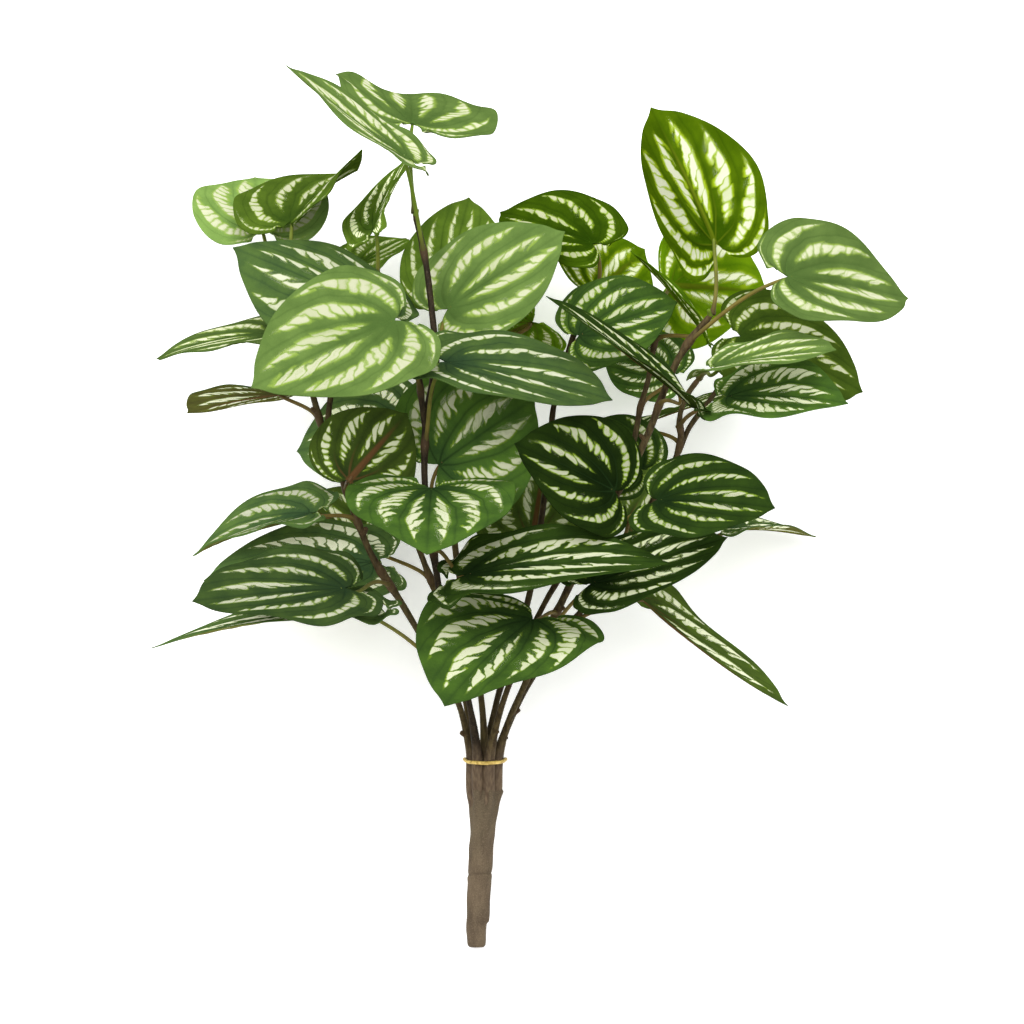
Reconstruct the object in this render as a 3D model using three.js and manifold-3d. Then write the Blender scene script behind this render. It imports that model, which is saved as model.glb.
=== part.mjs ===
// Ripple peperomia: an artificial bush with a moulded stub, a tie, stems and banded heart leaves.
// It is laid on its back. Millimetres, +Z up.
import * as THREE from 'three';
import { mergeVertices } from 'three/addons/utils/BufferGeometryUtils.js';
import Module from 'manifold-3d';

const wasm = await Module();
wasm.setup();

// Driving dimensions. In the plant's own frame X is across, Y runs up the stems and Z comes forward.
const STUB_LENGTH = 70;
const STUB_PROFILE = [[0, 2.6], [1.2, 4], [4, 4.6], [25, 4.8], [43, 5.3], [56, 6.5], [65, 7.6], [70, 8.1]];
const STUB_TOP_X = 3.4;
const STUB_SIDES = 14;
const STUB_GROOVES = 7;
const TIE_CENTRE = [3.6, 84, 0];
const TIE_RADIUS = 9.35;
const TIE_WIRE = 0.8;
const STEM_RADIUS = 2.1;
const STEM_TIP_RADIUS = 1.6;
const FORK_THINNING = 0.3;
const PETIOLE_RADIUS = 1.1;
const PETIOLE_FOOT_RADIUS = 1.27;
const BLADE_THICKNESS = 0.9;
const JOIN_GAP = 0.3;
const LAY_TILT = 16.57;
const LAY_ROLL = 0.29;

// Centre lines of the stems, from the stub upwards.
const STEMS = [
  { name: 'stem_left', line: [[-2, 70.4, 0.6], [-2.4, 84, 0.6], [-4.5, 96, 2], [-8, 109, 5],
    [-14, 123, 9], [-23, 137, 11], [-35, 157, 11], [-47, 176, 9], [-56, 198, 6], [-62, 215, 2],
    [-68, 228, 0], [-73, 245, -3], [-79, 269, -6], [-81, 289, -8]],
  forks: { left_fork: [[-68, 228, 0], [-66, 247, 0], [-63, 266, 0], [-63, 287, -2]] } },
  { name: 'stem_middle', line: [[0.5, 70.4, 4.5], [0.3, 84, 5], [-1.6, 100, 9], [-6, 121, 15],
    [-14, 145, 20], [-17, 163, 22], [-20, 183, 23], [-23, 206, 24], [-23, 228, 24], [-22, 243, 23],
    [-18, 264, 20], [-20, 284, 16], [-22, 302, 12], [-25, 318, 9], [-28, 330, 7]],
  forks: { middle_fork: [[-23, 234, 24], [-25, 250, 26], [-26, 266, 27], [-25, 279, 26]] } },
  { name: 'stem_heart', line: [[3.4, 70.4, 0], [3.6, 84, 0], [2, 111, -2], [-3, 143, -5],
    [-8, 167, -6], [-10, 181, -6], [-11, 201, -6], [-10, 224, -7], [-8, 246, -8], [-6, 264, -9],
    [-6, 278, -9], [-7, 291, -8]], forks: {} },
  { name: 'stem_back', line: [[4.1, 70.4, -5.4], [4.3, 84, -6], [9, 111, -10], [18, 138, -14],
    [24, 160, -16], [29, 192, -18], [33, 224, -18], [34, 240, -18], [38, 256, -19], [43, 274, -21],
    [50, 290, -22], [55, 297, -22]], forks: {} },
  { name: 'stem_right', line: [[8.5, 70.4, 1.8], [9.2, 84, 2.1], [14, 101, 4], [24, 124, 9],
    [34, 147, 13], [45, 170, 17], [57, 194, 21], [65, 208, 23], [73, 223, 24], [79, 237, 24],
    [84, 251, 24], [91, 266, 24], [98, 276, 22], [105, 284, 20]], forks: {} },
  { name: 'stem_inner', line: [[5.2, 70.4, 5.1], [5.6, 84, 5.7], [10, 105, 11], [19, 130, 15],
    [31, 156, 8], [47, 181, 5], [61, 203, 4], [70, 225, 3], [73, 241, 1], [77, 255, -1],
    [80, 273, -4], [83, 289, -8]], forks: {} },
  { name: 'stem_outer', line: [[8, 70.4, -2.8], [8.7, 84, -3.1], [16, 104, -7], [30, 129, -11],
    [51, 156, -14], [71, 185, -14], [84, 210, -12], [92, 225, -10], [91, 235, -8], [94, 247, -4],
    [100, 256, 0]],
  forks: { outer_fork: [[92, 225, -10], [96, 234, -12], [105, 246, -16], [113, 257, -20]] } },
  { name: 'stem_shade', line: [[-0.4, 70.4, -3.9], [-0.6, 84, -4.3], [-4, 104, -11], [-9, 126, -20],
    [-18, 156, -26], [-28, 183, -29], [-36, 210, -30], [-41, 238, -29], [-44, 260, -27],
    [-46, 283, -24], [-45, 301, -20]], forks: {} },
];

// One row a leaf: name, stem, how far up the stem it grows, joint of blade and petiole, tip,
// the way the upper face looks, width, bend along the midrib and fold about it (degrees).
const LEAVES = [
  ['top_right', 'stem_middle', 1.0, [-29, 371, -7], [-32, 389, -66], [0.27, 0.92, 0.3], 76, 14, 12],
  ['top_left', 'stem_middle', 0.93, [-31, 353, 32], [-85, 393, 37], [0.6, 0.75, 0.24], 58, -8, 10],
  ['upper_folded', 'stem_shade', 1.0, [-47, 324, -14], [-34, 357, -66], [-0.72, 0.3, 0.6], 34, 10, 20],
  ['small_back', 'stem_shade', 0.88, [-54, 309, -34], [-33, 323, -60], [0, 0.93, 0.37], 28, 10, 12],
  ['behind_stem', 'stem_heart', 1.0, [-14, 296, -24], [-4, 340, -52], [-0.1, 0.35, 0.93], 46, 15, 6],
  ['upper_centre', 'stem_middle', 0.73, [-13, 287, 3], [40, 321, 8], [-0.15, 0.35, 0.92], 52, 12, 6],
  ['upper_left', 'middle_fork', 0.35, [-36, 280, 54], [-98, 251, 76], [-0.1, 0.45, 0.88], 66, 14, 6],
  ['left_behind', 'left_fork', 1.0, [-41, 283, 15], [-109, 314, 18], [-0.1, 0.7, 0.7], 68, 12, -18],
  ['left_side_upper', 'stem_left', 0.86, [-93, 275, 14], [-145, 264, -14], [0.05, 0.92, 0.36], 50, 20, 8],
  ['left_side_lower', 'stem_left', 0.78, [-88, 249, -12], [-133, 241, -42], [0, 1, -0.1], 50, 10, 8],
  ['far_left', 'stem_left', 1.0, [-98, 325, -34], [-104, 352, -84], [0, 0.88, 0.47], 62, 15, 8],
  ['left_crown', 'stem_left', 0.9, [-84, 327, -8], [-56, 354, -60], [-0.45, 0.8, 0.4], 58, 15, 26],
  ['left_mid_back', 'stem_shade', 0.74, [-35, 235, -12], [-82, 223, -40], [0, 0.35, 0.93], 50, 15, 8],
  ['left_mid_under', 'stem_left', 0.63, [-57, 210, 20], [-31, 240, 13], [0.05, 0.3, -0.95], 50, 10, 8],
  ['left_long', 'stem_left', 0.57, [-75, 195, 14], [-130, 178, -14], [-0.42, 0.85, 0.31], 44, 15, 16],
  ['left_low_back', 'stem_left', 0.46, [-47, 173, -6], [-123, 164, 0], [0, 0.6, 0.8], 46, 15, 8],
  ['left_low', 'stem_left', 0.43, [-58, 162, 50], [-124, 156, 72], [0.1, 0.86, 0.5], 62, 8, 8],
  ['left_lowest', 'stem_left', 0.23, [-51, 153, 40], [-145, 137, 34], [0.1, 0.95, 0.25], 46, 14, 8],
  ['centre_dark', 'stem_middle', 0.47, [-17, 217, 8], [26, 247, 6], [-0.1, 0.25, 0.96], 72, 12, 6],
  ['front_heart', 'stem_middle', 0.5, [-20, 206, 36], [-21, 177, 97], [0, 0.84, 0.55], 74, 14, 8],
  ['centre_long', 'stem_middle', 0.6, [-13, 262, 38], [60, 244, 47], [0.12, 0.85, 0.5], 60, 14, 10],
  ['pale_back', 'stem_heart', 0.85, [25, 282, -26], [-9, 266, -66], [0.1, 0.5, -0.85], 44, 10, 8],
  ['crown_right', 'stem_back', 1.0, [52, 317, -10], [10, 334, -44], [0.1, 0.6, 0.75], 46, 15, 10],
  ['yellow_back', 'stem_back', 0.93, [54, 296, -34], [78, 318, -66], [-0.55, -0.4, -0.65], 52, 10, 8],
  ['right_centre', 'stem_back', 0.82, [46, 275, 4], [90, 290, 8], [-0.1, 0.5, 0.86], 46, 12, 8],
  ['edge_upper', 'stem_inner', 0.93, [101, 277, 2], [70, 314, 2], [0.78, 0.63, 0.08], 32, 10, 10],
  ['edge_long', 'stem_right', 0.8, [91, 246, 48], [30, 290, 48], [0.58, 0.8, 0.12], 40, 8, 14],
  ['yellow_right', 'stem_inner', 1.0, [88, 299, -26], [134, 297, -58], [-0.55, 0.25, -0.8], 60, 12, 8],
  ['top_heart', 'stem_right', 1.0, [107, 316, 13], [78, 377, 13], [0.6, 0.25, -0.75], 64, 10, 14],
  ['right_crown', 'stem_right', 0.93, [138, 300, 38], [194, 292, 8], [0.48, 0.57, 0.67], 60, 14, 14],
  ['right_behind', 'outer_fork', 1.0, [119, 275, -6], [175, 250, -22], [0.1, 0.45, 0.89], 52, 24, 8],
  ['right_light', 'stem_outer', 1.0, [107, 260, 42], [158, 265, 66], [0.05, 0.93, 0.35], 52, 12, 12],
  ['right_dark', 'stem_outer', 0.88, [112, 247, 26], [164, 245, 46], [0, 0.82, 0.57], 50, 12, 10],
  ['right_inner', 'stem_inner', 0.8, [88, 258, -14], [58, 268, -32], [0, 0.4, 0.9], 36, 10, 8],
  ['right_under', 'stem_outer', 0.84, [76, 236, -26], [118, 248, -77], [0, 0.93, -0.35], 46, 10, 10],
  ['centre_right', 'stem_right', 0.56, [61, 205, 42], [17, 226, 56], [0.4, 0.3, 0.82], 54, 12, 14],
  ['right_shade', 'stem_inner', 0.66, [74, 215, -4], [45, 234, -16], [-0.2, 0.35, 0.9], 38, 10, 8],
  ['back_fan', 'stem_back', 0.5, [25, 183, -26], [31, 222, -60], [0.1, 0.5, -0.86], 54, 10, 8],
  ['right_mid', 'stem_right', 0.5, [80, 201, 52], [131, 197, 66], [0.1, 0.75, 0.65], 58, 14, 8],
  ['right_low_back', 'stem_outer', 0.6, [113, 188, -14], [155, 184, -52], [0, 0.97, 0.2], 42, 14, 12],
  ['low_long', 'stem_middle', 0.42, [-4, 168, 48], [84, 176, 72], [-0.22, 0.83, 0.52], 50, 12, 8],
  ['low_right', 'stem_right', 0.3, [51, 164, 33], [112, 184, 20], [-0.1, 0.5, 0.85], 36, 14, 8],
  ['low_hanging', 'stem_outer', 0.4, [74, 157, -12], [139, 106, -12], [0.5, 0.75, -0.3], 38, -10, 26],
  ['lowest_front', 'stem_right', 0.36, [25, 148, 34], [-14, 113, 78], [-0.12, 0.8, 0.58], 82, 18, 8],
  ['back_left_low', 'stem_shade', 0.42, [-46, 178, -34], [-82, 201, -52], [0, 0.3, -0.95], 44, 10, 8],
  ['back_left_upper', 'stem_shade', 0.84, [-42, 256, -40], [-71, 278, -87], [-0.75, 0.2, -0.4], 42, 10, 10],
  ['back_centre', 'stem_heart', 0.62, [1, 224, -32], [12, 258, -68], [0.1, 0.5, -0.86], 52, 10, 10],
  ['back_right_low', 'stem_outer', 0.56, [68, 190, -28], [98, 212, -48], [0.1, 0.3, -0.95], 42, 10, 8],
];

// Right half of a heart leaf of length 1, from the tip round the lobe to the joint of the petiole.
const HALF_OUTLINE = [[0.16, 0.87], [0.35, 0.66], [0.47, 0.41], [0.49, 0.15], [0.42, -0.07],
  [0.26, -0.18], [0.09, -0.13]];
const HALF_OUTLINE_WIDTH = 0.49;
const RINGS = [0.42, 0.76, 1];
const WAVE_HEIGHT = 0.022;
const LOBE_DROP = 0.35;

const vector = (values) => new THREE.Vector3(...values);
const radians = (degrees) => degrees * Math.PI / 180;

function toManifold(geometry) {
  geometry.deleteAttribute('normal');
  geometry.deleteAttribute('uv');
  const merged = mergeVertices(geometry, 1e-4);
  return new wasm.Manifold(new wasm.Mesh({
    numProp: 3,
    vertProperties: new Float32Array(merged.attributes.position.array),
    triVerts: new Uint32Array(merged.index.array),
  }));
}

function toGeometry(solid) {
  const mesh = solid.getMesh();
  const geometry = new THREE.BufferGeometry();
  geometry.setAttribute('position', new THREE.BufferAttribute(mesh.vertProperties, 3));
  geometry.setIndex(new THREE.BufferAttribute(mesh.triVerts, 1));
  geometry.computeVertexNormals();
  return geometry;
}

function polygon(radius, sides) {
  const corners = [];
  for (let side = 0; side < sides; side += 1) {
    const turn = 2 * Math.PI * side / sides;
    corners.push(new THREE.Vector2(radius * Math.cos(turn), radius * Math.sin(turn)));
  }
  return new THREE.Shape(corners);
}

// A rod along a curve that tapers evenly from its first radius to its last.
function taperedRod(curve, firstRadius, lastRadius, sides, steps) {
  const geometry = new THREE.ExtrudeGeometry(polygon(firstRadius, sides), {
    steps, bevelEnabled: false, extrudePath: curve,
  });
  const centres = curve.getSpacedPoints(steps);
  const position = geometry.attributes.position;
  const point = new THREE.Vector3();
  for (let index = 0; index < position.count; index += 1) {
    point.fromBufferAttribute(position, index);
    const distances = centres.map((centre) => centre.distanceTo(point));
    const nearest = distances.indexOf(Math.min(...distances));
    const scale = 1 + (lastRadius / firstRadius - 1) * nearest / steps;
    point.sub(centres[nearest]).multiplyScalar(scale).add(centres[nearest]);
    position.setXYZ(index, point.x, point.y, point.z);
  }
  return toManifold(geometry);
}

function stemCurve(points) {
  return new THREE.CatmullRomCurve3(points.map(vector), false, 'centripetal');
}

function stemSolid(points, extra) {
  const steps = Math.max(4, Math.round(stemCurve(points).getLength() / 17));
  return taperedRod(stemCurve(points), STEM_RADIUS + extra, STEM_TIP_RADIUS + extra, 6, steps);
}

// Outline of a blade from one side of the notch over the tip to the other side.
function bladeOutline() {
  const left = HALF_OUTLINE.map(([across, along]) => [-across, along]).reverse();
  return [...left, [0, 1], ...HALF_OUTLINE];
}

// Height of a blade over its flat outline, all as parts of its length.
function bladeHeight(across, along, edge, bend, fold, phase) {
  const arch = radians(bend) / 2 * along * (1 - along);
  const trough = (Math.sqrt(across * across + 0.0016) - 0.04) * Math.tan(radians(fold));
  const around = Math.atan2(across, along + 0.12);
  const wave = WAVE_HEIGHT * edge * edge * Math.sin(4 * around + phase);
  const behind = Math.max(0, 0.1 - along);
  return arch + trough + wave - LOBE_DROP * behind * Math.abs(across);
}

function bladeFrame(joint, tip, facing) {
  const along = new THREE.Vector3().subVectors(tip, joint);
  const length = along.length();
  along.normalize();
  const across = new THREE.Vector3().crossVectors(along, facing).normalize();
  const up = new THREE.Vector3().crossVectors(across, along).normalize();
  return { along, across, up, length };
}

// A closed blade with the same triangles on its upper and lower face.
function bladeSolid(joint, tip, facing, width, bend, fold, phase) {
  const frame = bladeFrame(joint, tip, facing);
  const outline = bladeOutline();
  const widen = width / (2 * HALF_OUTLINE_WIDTH * frame.length);
  const place = (across, along, edge) => new THREE.Vector3()
    .copy(joint)
    .addScaledVector(frame.across, across * widen * frame.length)
    .addScaledVector(frame.along, along * frame.length)
    .addScaledVector(frame.up,
      bladeHeight(across * widen, along, edge, bend, fold, phase) * frame.length);
  const middle = [place(0, 0, 0)];
  for (const ring of RINGS) {
    for (const [across, along] of outline) {
      middle.push(place(across * ring, along * ring, ring));
    }
  }
  const count = outline.length;
  const faces = [];
  for (let sector = 0; sector < count - 1; sector += 1) {
    faces.push([0, 1 + sector + 1, 1 + sector]);
    for (let ring = 1; ring < RINGS.length; ring += 1) {
      const inner = 1 + (ring - 1) * count + sector;
      const outer = 1 + ring * count + sector;
      if (sector < (count - 1) / 2) {
        faces.push([inner, inner + 1, outer], [inner + 1, outer + 1, outer]);
      } else {
        faces.push([inner, inner + 1, outer + 1], [inner, outer + 1, outer]);
      }
    }
  }
  const skin = new THREE.BufferGeometry().setFromPoints(middle);
  skin.setIndex(faces.flat());
  skin.computeVertexNormals();
  const normals = skin.attributes.normal;
  const upper = [];
  const lower = [];
  middle.forEach((point, index) => {
    const normal = new THREE.Vector3().fromBufferAttribute(normals, index);
    if (normal.dot(frame.up) < 0) {
      normal.negate();
    }
    upper.push(point.clone().addScaledVector(normal, BLADE_THICKNESS / 2));
    lower.push(point.clone().addScaledVector(normal, -BLADE_THICKNESS / 2));
  });
  const rim = rimOf(count);
  const total = middle.length;
  const upFacing = faceLooksUp(faces[0], middle, frame.up);
  const indices = [];
  for (const [a, b, c] of faces) {
    if (upFacing) {
      indices.push(a, b, c, total + a, total + c, total + b);
    } else {
      indices.push(a, c, b, total + a, total + b, total + c);
    }
  }
  rim.forEach((from, index) => {
    const to = rim[(index + 1) % rim.length];
    if (upFacing) {
      indices.push(from, to, total + to, from, total + to, total + from);
    } else {
      indices.push(to, from, total + to, total + to, from, total + from);
    }
  });
  const geometry = new THREE.BufferGeometry().setFromPoints([...upper, ...lower]);
  geometry.setIndex(indices);
  return toManifold(geometry);
}

// Points round the edge of a blade: out along one side of the notch, round the outline and back.
function rimOf(count) {
  const rim = [0];
  for (let ring = 0; ring < RINGS.length; ring += 1) {
    rim.push(1 + ring * count);
  }
  for (let sector = 1; sector < count; sector += 1) {
    rim.push(1 + (RINGS.length - 1) * count + sector);
  }
  for (let ring = RINGS.length - 2; ring >= 0; ring -= 1) {
    rim.push(ring * count + count);
  }
  return rim;
}

function faceLooksUp([a, b, c], points, up) {
  const first = new THREE.Vector3().subVectors(points[b], points[a]);
  const second = new THREE.Vector3().subVectors(points[c], points[a]);
  return first.cross(second).dot(up) > 0;
}

// The petiole leaves its stem slantwise and comes to the joint from below the blade.
function petioleSolid(start, stemDirection, joint, tip, facing) {
  const frame = bladeFrame(joint, tip, facing);
  const reach = start.distanceTo(joint);
  const end = joint.clone().addScaledVector(frame.along, 2).addScaledVector(frame.up, 0.1);
  const leave = end.clone().sub(start).normalize().addScaledVector(stemDirection, 0.6).normalize();
  const arrive = frame.along.clone().multiplyScalar(-0.8).addScaledVector(frame.up, -0.6);
  const curve = new THREE.CubicBezierCurve3(
    start,
    start.clone().addScaledVector(leave, reach * 0.4),
    end.clone().addScaledVector(arrive, reach * 0.35),
    end,
  );
  const steps = Math.max(3, Math.round(reach / 14));
  return taperedRod(curve, PETIOLE_FOOT_RADIUS, PETIOLE_RADIUS, 5, steps);
}

function material(colour, roughness) {
  return new THREE.MeshStandardMaterial({ color: colour, roughness });
}

function piece(name, solid, colour, roughness) {
  const mesh = new THREE.Mesh(toGeometry(solid), material(colour, roughness));
  mesh.name = name;
  return mesh;
}

// The stub: a lumpy cone with shallow grooves between the stems that melt into it.
function stubSolid() {
  const points = [];
  for (const [level, radius] of STUB_PROFILE) {
    const height = level / STUB_LENGTH;
    const groove = 0.07 * height ** 4;
    for (let side = 0; side < STUB_SIDES; side += 1) {
      const turn = 2 * Math.PI * side / STUB_SIDES;
      const lumps = 0.03 * Math.sin(2 * turn + 5 * height);
      const reach = radius * (1 + groove * Math.cos(STUB_GROOVES * turn - 2.44) + lumps);
      points.push(new THREE.Vector3(
        STUB_TOP_X * height ** 1.5 + reach * Math.cos(turn),
        STUB_LENGTH * height,
        reach * Math.sin(turn),
      ));
    }
  }
  const indices = [];
  for (let row = 0; row < STUB_PROFILE.length - 1; row += 1) {
    for (let side = 0; side < STUB_SIDES; side += 1) {
      const next = (side + 1) % STUB_SIDES;
      const low = row * STUB_SIDES;
      const high = low + STUB_SIDES;
      indices.push(low + side, high + side, high + next, low + side, high + next, low + next);
    }
  }
  const last = (STUB_PROFILE.length - 1) * STUB_SIDES;
  for (let side = 1; side < STUB_SIDES - 1; side += 1) {
    indices.push(0, side, side + 1, last, last + side + 1, last + side);
  }
  const geometry = new THREE.BufferGeometry().setFromPoints(points);
  geometry.setIndex(indices);
  return toManifold(geometry);
}

const plant = new THREE.Group();
plant.name = 'ripple_peperomia';
const lines = {};

plant.add(piece('stub', stubSolid(), 0x64584b, 0.6));

const tieRing = new THREE.TorusGeometry(TIE_RADIUS, TIE_WIRE, 6, 24);
tieRing.rotateX(Math.PI / 2);
tieRing.translate(...TIE_CENTRE);
plant.add(piece('tie', toManifold(tieRing), 0xbea55a, 0.5));

for (const stem of STEMS) {
  lines[stem.name] = stemCurve(stem.line);
  let solid = stemSolid(stem.line, 0);
  for (const [forkName, points] of Object.entries(stem.forks)) {
    lines[forkName] = stemCurve(points);
    solid = solid.add(stemSolid(points, -FORK_THINNING));
  }
  plant.add(piece(stem.name, solid, 0x3c322d, 0.6));
}

const stemsOf = {};
for (const stem of STEMS) {
  let solid = stemSolid(stem.line, JOIN_GAP);
  for (const points of Object.values(stem.forks)) {
    solid = solid.add(stemSolid(points, JOIN_GAP - FORK_THINNING));
  }
  stemsOf[stem.name] = solid;
  for (const forkName of Object.keys(stem.forks)) stemsOf[forkName] = solid;
}

LEAVES.forEach(([name, stemName, height, jointAt, tipAt, facingAt, width, bend, fold], row) => {
  const joint = vector(jointAt);
  const tip = vector(tipAt);
  const facing = vector(facingAt).normalize();
  const line = lines[stemName];
  const start = line.getPointAt(height);
  const petiole = petioleSolid(start, line.getTangentAt(height), joint, tip, facing);
  const blade = bladeSolid(joint, tip, facing, width, bend, fold, 1.7 * row);
  plant.add(piece(`leaf_${name}`, petiole.subtract(stemsOf[stemName]).add(blade), 0x4a8a3a, 0.45));
});

// Laid on its back and tilted until it rests on the end of the stub and on two leaves.
plant.rotation.x = radians(LAY_TILT);
const laid = new THREE.Group();
laid.name = 'laid_down';
laid.rotation.y = radians(LAY_ROLL);
laid.add(plant);
laid.updateMatrixWorld(true);
const box = new THREE.Box3().setFromObject(laid, true);
laid.position.set(-(box.min.x + box.max.x) / 2, -(box.min.y + box.max.y) / 2, -box.min.z);
const root = new THREE.Group();
root.name = 'peperomia_bush';
root.add(laid);

export default root;
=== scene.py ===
import math

import bpy
import numpy as np
from mathutils import Matrix, Vector


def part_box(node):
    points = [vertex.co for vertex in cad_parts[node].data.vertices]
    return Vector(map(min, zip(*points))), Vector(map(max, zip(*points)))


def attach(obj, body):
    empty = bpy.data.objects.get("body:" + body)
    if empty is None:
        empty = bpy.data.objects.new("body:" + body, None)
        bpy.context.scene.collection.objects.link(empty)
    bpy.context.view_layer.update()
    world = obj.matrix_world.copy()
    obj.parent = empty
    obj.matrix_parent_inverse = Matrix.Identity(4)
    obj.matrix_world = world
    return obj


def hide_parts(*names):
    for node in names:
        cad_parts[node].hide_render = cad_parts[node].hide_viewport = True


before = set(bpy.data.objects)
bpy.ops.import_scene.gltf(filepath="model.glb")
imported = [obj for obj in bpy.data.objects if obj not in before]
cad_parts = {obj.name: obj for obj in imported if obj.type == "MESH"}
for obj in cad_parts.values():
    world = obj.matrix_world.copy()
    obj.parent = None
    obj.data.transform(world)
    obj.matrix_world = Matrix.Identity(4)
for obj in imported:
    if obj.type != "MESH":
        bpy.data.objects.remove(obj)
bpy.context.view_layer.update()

bpy.ops.object.select_all(action="DESELECT")

# Points are given in the bush's own millimetres: x across, y up the stems, z towards the viewer.
lie = {
    "tilt": 16.57,  # degrees that the stems rise from the surface
    "roll": 0.29,
    "tieCentre": (3.6, 84, 0),
    "millimetre": 0.001,
}
turn = (Matrix.Rotation(math.radians(lie["roll"]), 3, "Y")
        @ Matrix.Rotation(math.radians(lie["tilt"]), 3, "X"))
tieLow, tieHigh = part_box("tie")
shift = (tieLow + tieHigh) / 2 - turn @ Vector(lie["tieCentre"]) * lie["millimetre"]
turnRows = np.array(turn)


def lay(points):
    return np.asarray(points, float) @ turnRows.T * lie["millimetre"] + np.array(shift)


def unit(vectors):
    vectors = np.asarray(vectors, float)
    return vectors / np.linalg.norm(vectors, axis=-1, keepdims=True)


def smooth(low, high, value):
    part = np.clip((value - low) / (high - low), 0, 1)
    return part * part * (3 - 2 * part)


def linear(red, green, blue):
    parts = [c / 255 for c in (red, green, blue)]
    parts = [c / 12.92 if c <= 0.04045 else ((c + 0.055) / 1.055) ** 2.4 for c in parts]
    return (*parts, 1)


def maths(operation, turned=False):
    if turned:
        return lambda self, other: self.math(operation, other, self)
    return lambda self, other=0.0: self.math(operation, self, other)


class Wire:
    # One output of a shader node; arithmetic on it adds Math nodes.
    def __init__(self, tree, socket):
        self.tree = tree
        self.socket = socket

    def node(self, kind, settings=None, values=None, output=0):
        made = self.tree.nodes.new("ShaderNode" + kind)
        for key, setting in (settings or {}).items():
            setattr(made, key, setting)
        for key, value in (values or {}).items():
            if isinstance(value, Wire):
                self.tree.links.new(value.socket, made.inputs[key])
            else:
                made.inputs[key].default_value = value
        return Wire(self.tree, made.outputs[output])

    def math(self, operation, first, second):
        return self.node("Math", {"operation": operation}, {0: first, 1: second})

    __add__, __radd__ = maths("ADD"), maths("ADD", turned=True)
    __sub__, __rsub__ = maths("SUBTRACT"), maths("SUBTRACT", turned=True)
    __mul__, __rmul__ = maths("MULTIPLY"), maths("MULTIPLY", turned=True)
    __truediv__, __abs__ = maths("DIVIDE"), maths("ABSOLUTE")
    least, most, over = maths("MINIMUM"), maths("MAXIMUM"), maths("GREATER_THAN")
    floor, fraction, root = maths("FLOOR"), maths("FRACT"), maths("SQRT")

    def rise(self, low, high):
        return self.node("MapRange", {"interpolation_type": "SMOOTHSTEP"},
                         {"Value": self, "From Min": low, "From Max": high})

    def mixed(self, first, second):
        # This wire is the factor between two numbers.
        return self.node("Mix", {"data_type": "FLOAT"}, {0: self, 2: first, 3: second})

    def scaled(self, amount):
        return self.node("VectorMath", {"operation": "SCALE"}, {0: self, "Scale": amount})

    def blended(self, first, second):
        # This wire is the factor between two colours.
        return self.node("Mix", {"data_type": "RGBA"}, {0: self, 6: first, 7: second}, output=2)


def startMaterial(name, roughness, specular):
    material = bpy.data.materials.new(name)
    material.use_nodes = True
    tree = material.node_tree
    shader = tree.nodes["Principled BSDF"]
    shader.inputs["Roughness"].default_value = roughness
    shader.inputs["Specular IOR Level"].default_value = specular
    return material, Wire(tree, None), shader


def finishMaterial(paint, shader, colour, roughness, height, strength, distance):
    bump = paint.node("Bump", None, {"Strength": strength, "Distance": distance,
                                     "Height": height})
    for wire, name in ((colour, "Base Color"), (roughness, "Roughness"), (bump, "Normal")):
        paint.tree.links.new(wire.socket, shader.inputs[name])


def attribute(paint, name):
    return paint.node("Attribute", {"attribute_name": name}, output=1)


def split(vector):
    return [vector.node("SeparateXYZ", None, {0: vector}, output=axis) for axis in range(3)]


def joined(x, y, z):
    return x.node("CombineXYZ", None, {0: x, 1: y, 2: z})


def noise(vector, scale, detail):
    return vector.node("TexNoise", None, {"Vector": vector, "Scale": scale, "Detail": detail})


def drawn(vector, scale):
    return vector.node("Mapping", None, {"Vector": vector, "Scale": scale})


def chances(dimensions, vector, output=0):
    return vector.node("TexWhiteNoise", {"noise_dimensions": dimensions}, {"Vector": vector},
                       output=output)


leafPattern = {
    "specular": 0,  # a matt skin
    "notchAngle": 145.3,  # degrees from the tip to the notch
    "closing": 0.7, "closingPower": 1.2,  # how far the veins bend towards the tip
    "tipPole": 1.15,  # the veins head for a point just past the tip
    "crowd": 0.27,  # the veins stand closer by the midrib than in the lobes
    "bands": (1.55, 1.85),  # fewest and most
    "wander": 0.16,  # how unevenly the veins run
    "cellsInner": 2.2, "cellsMore": 1.6,  # strokes in the inner bands, and how many more outside
    "slant": (2.4, 1.3),  # of the cross veins on inner and outer bands
    "start": (0.1, 0.14),  # where the cream begins along a band, and how much that varies
    "halfWide": (0.27, 0.06),  # half a band's share in cream, and how much less it may be
    "innerReach": (0.42, 0.96), "outerReach": (0.64, 0.56),  # least, and how much that varies
    "innerGap": (0.46, 0.14), "outerGap": (0.12, 0.3),  # each on inner and outer bands
    "corner": 1.3,  # rounding of the strokes in millimetres
    # how fine each noise is, a millimetre
    "wanderScale": 0.07, "stepScale": 0.22, "grainScale": 1.1,
    "mottleScale": 0.1, "fineScale": 0.9, "skinScale": 2.2,
    "bump": (0.35, 0.0004),
}

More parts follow.
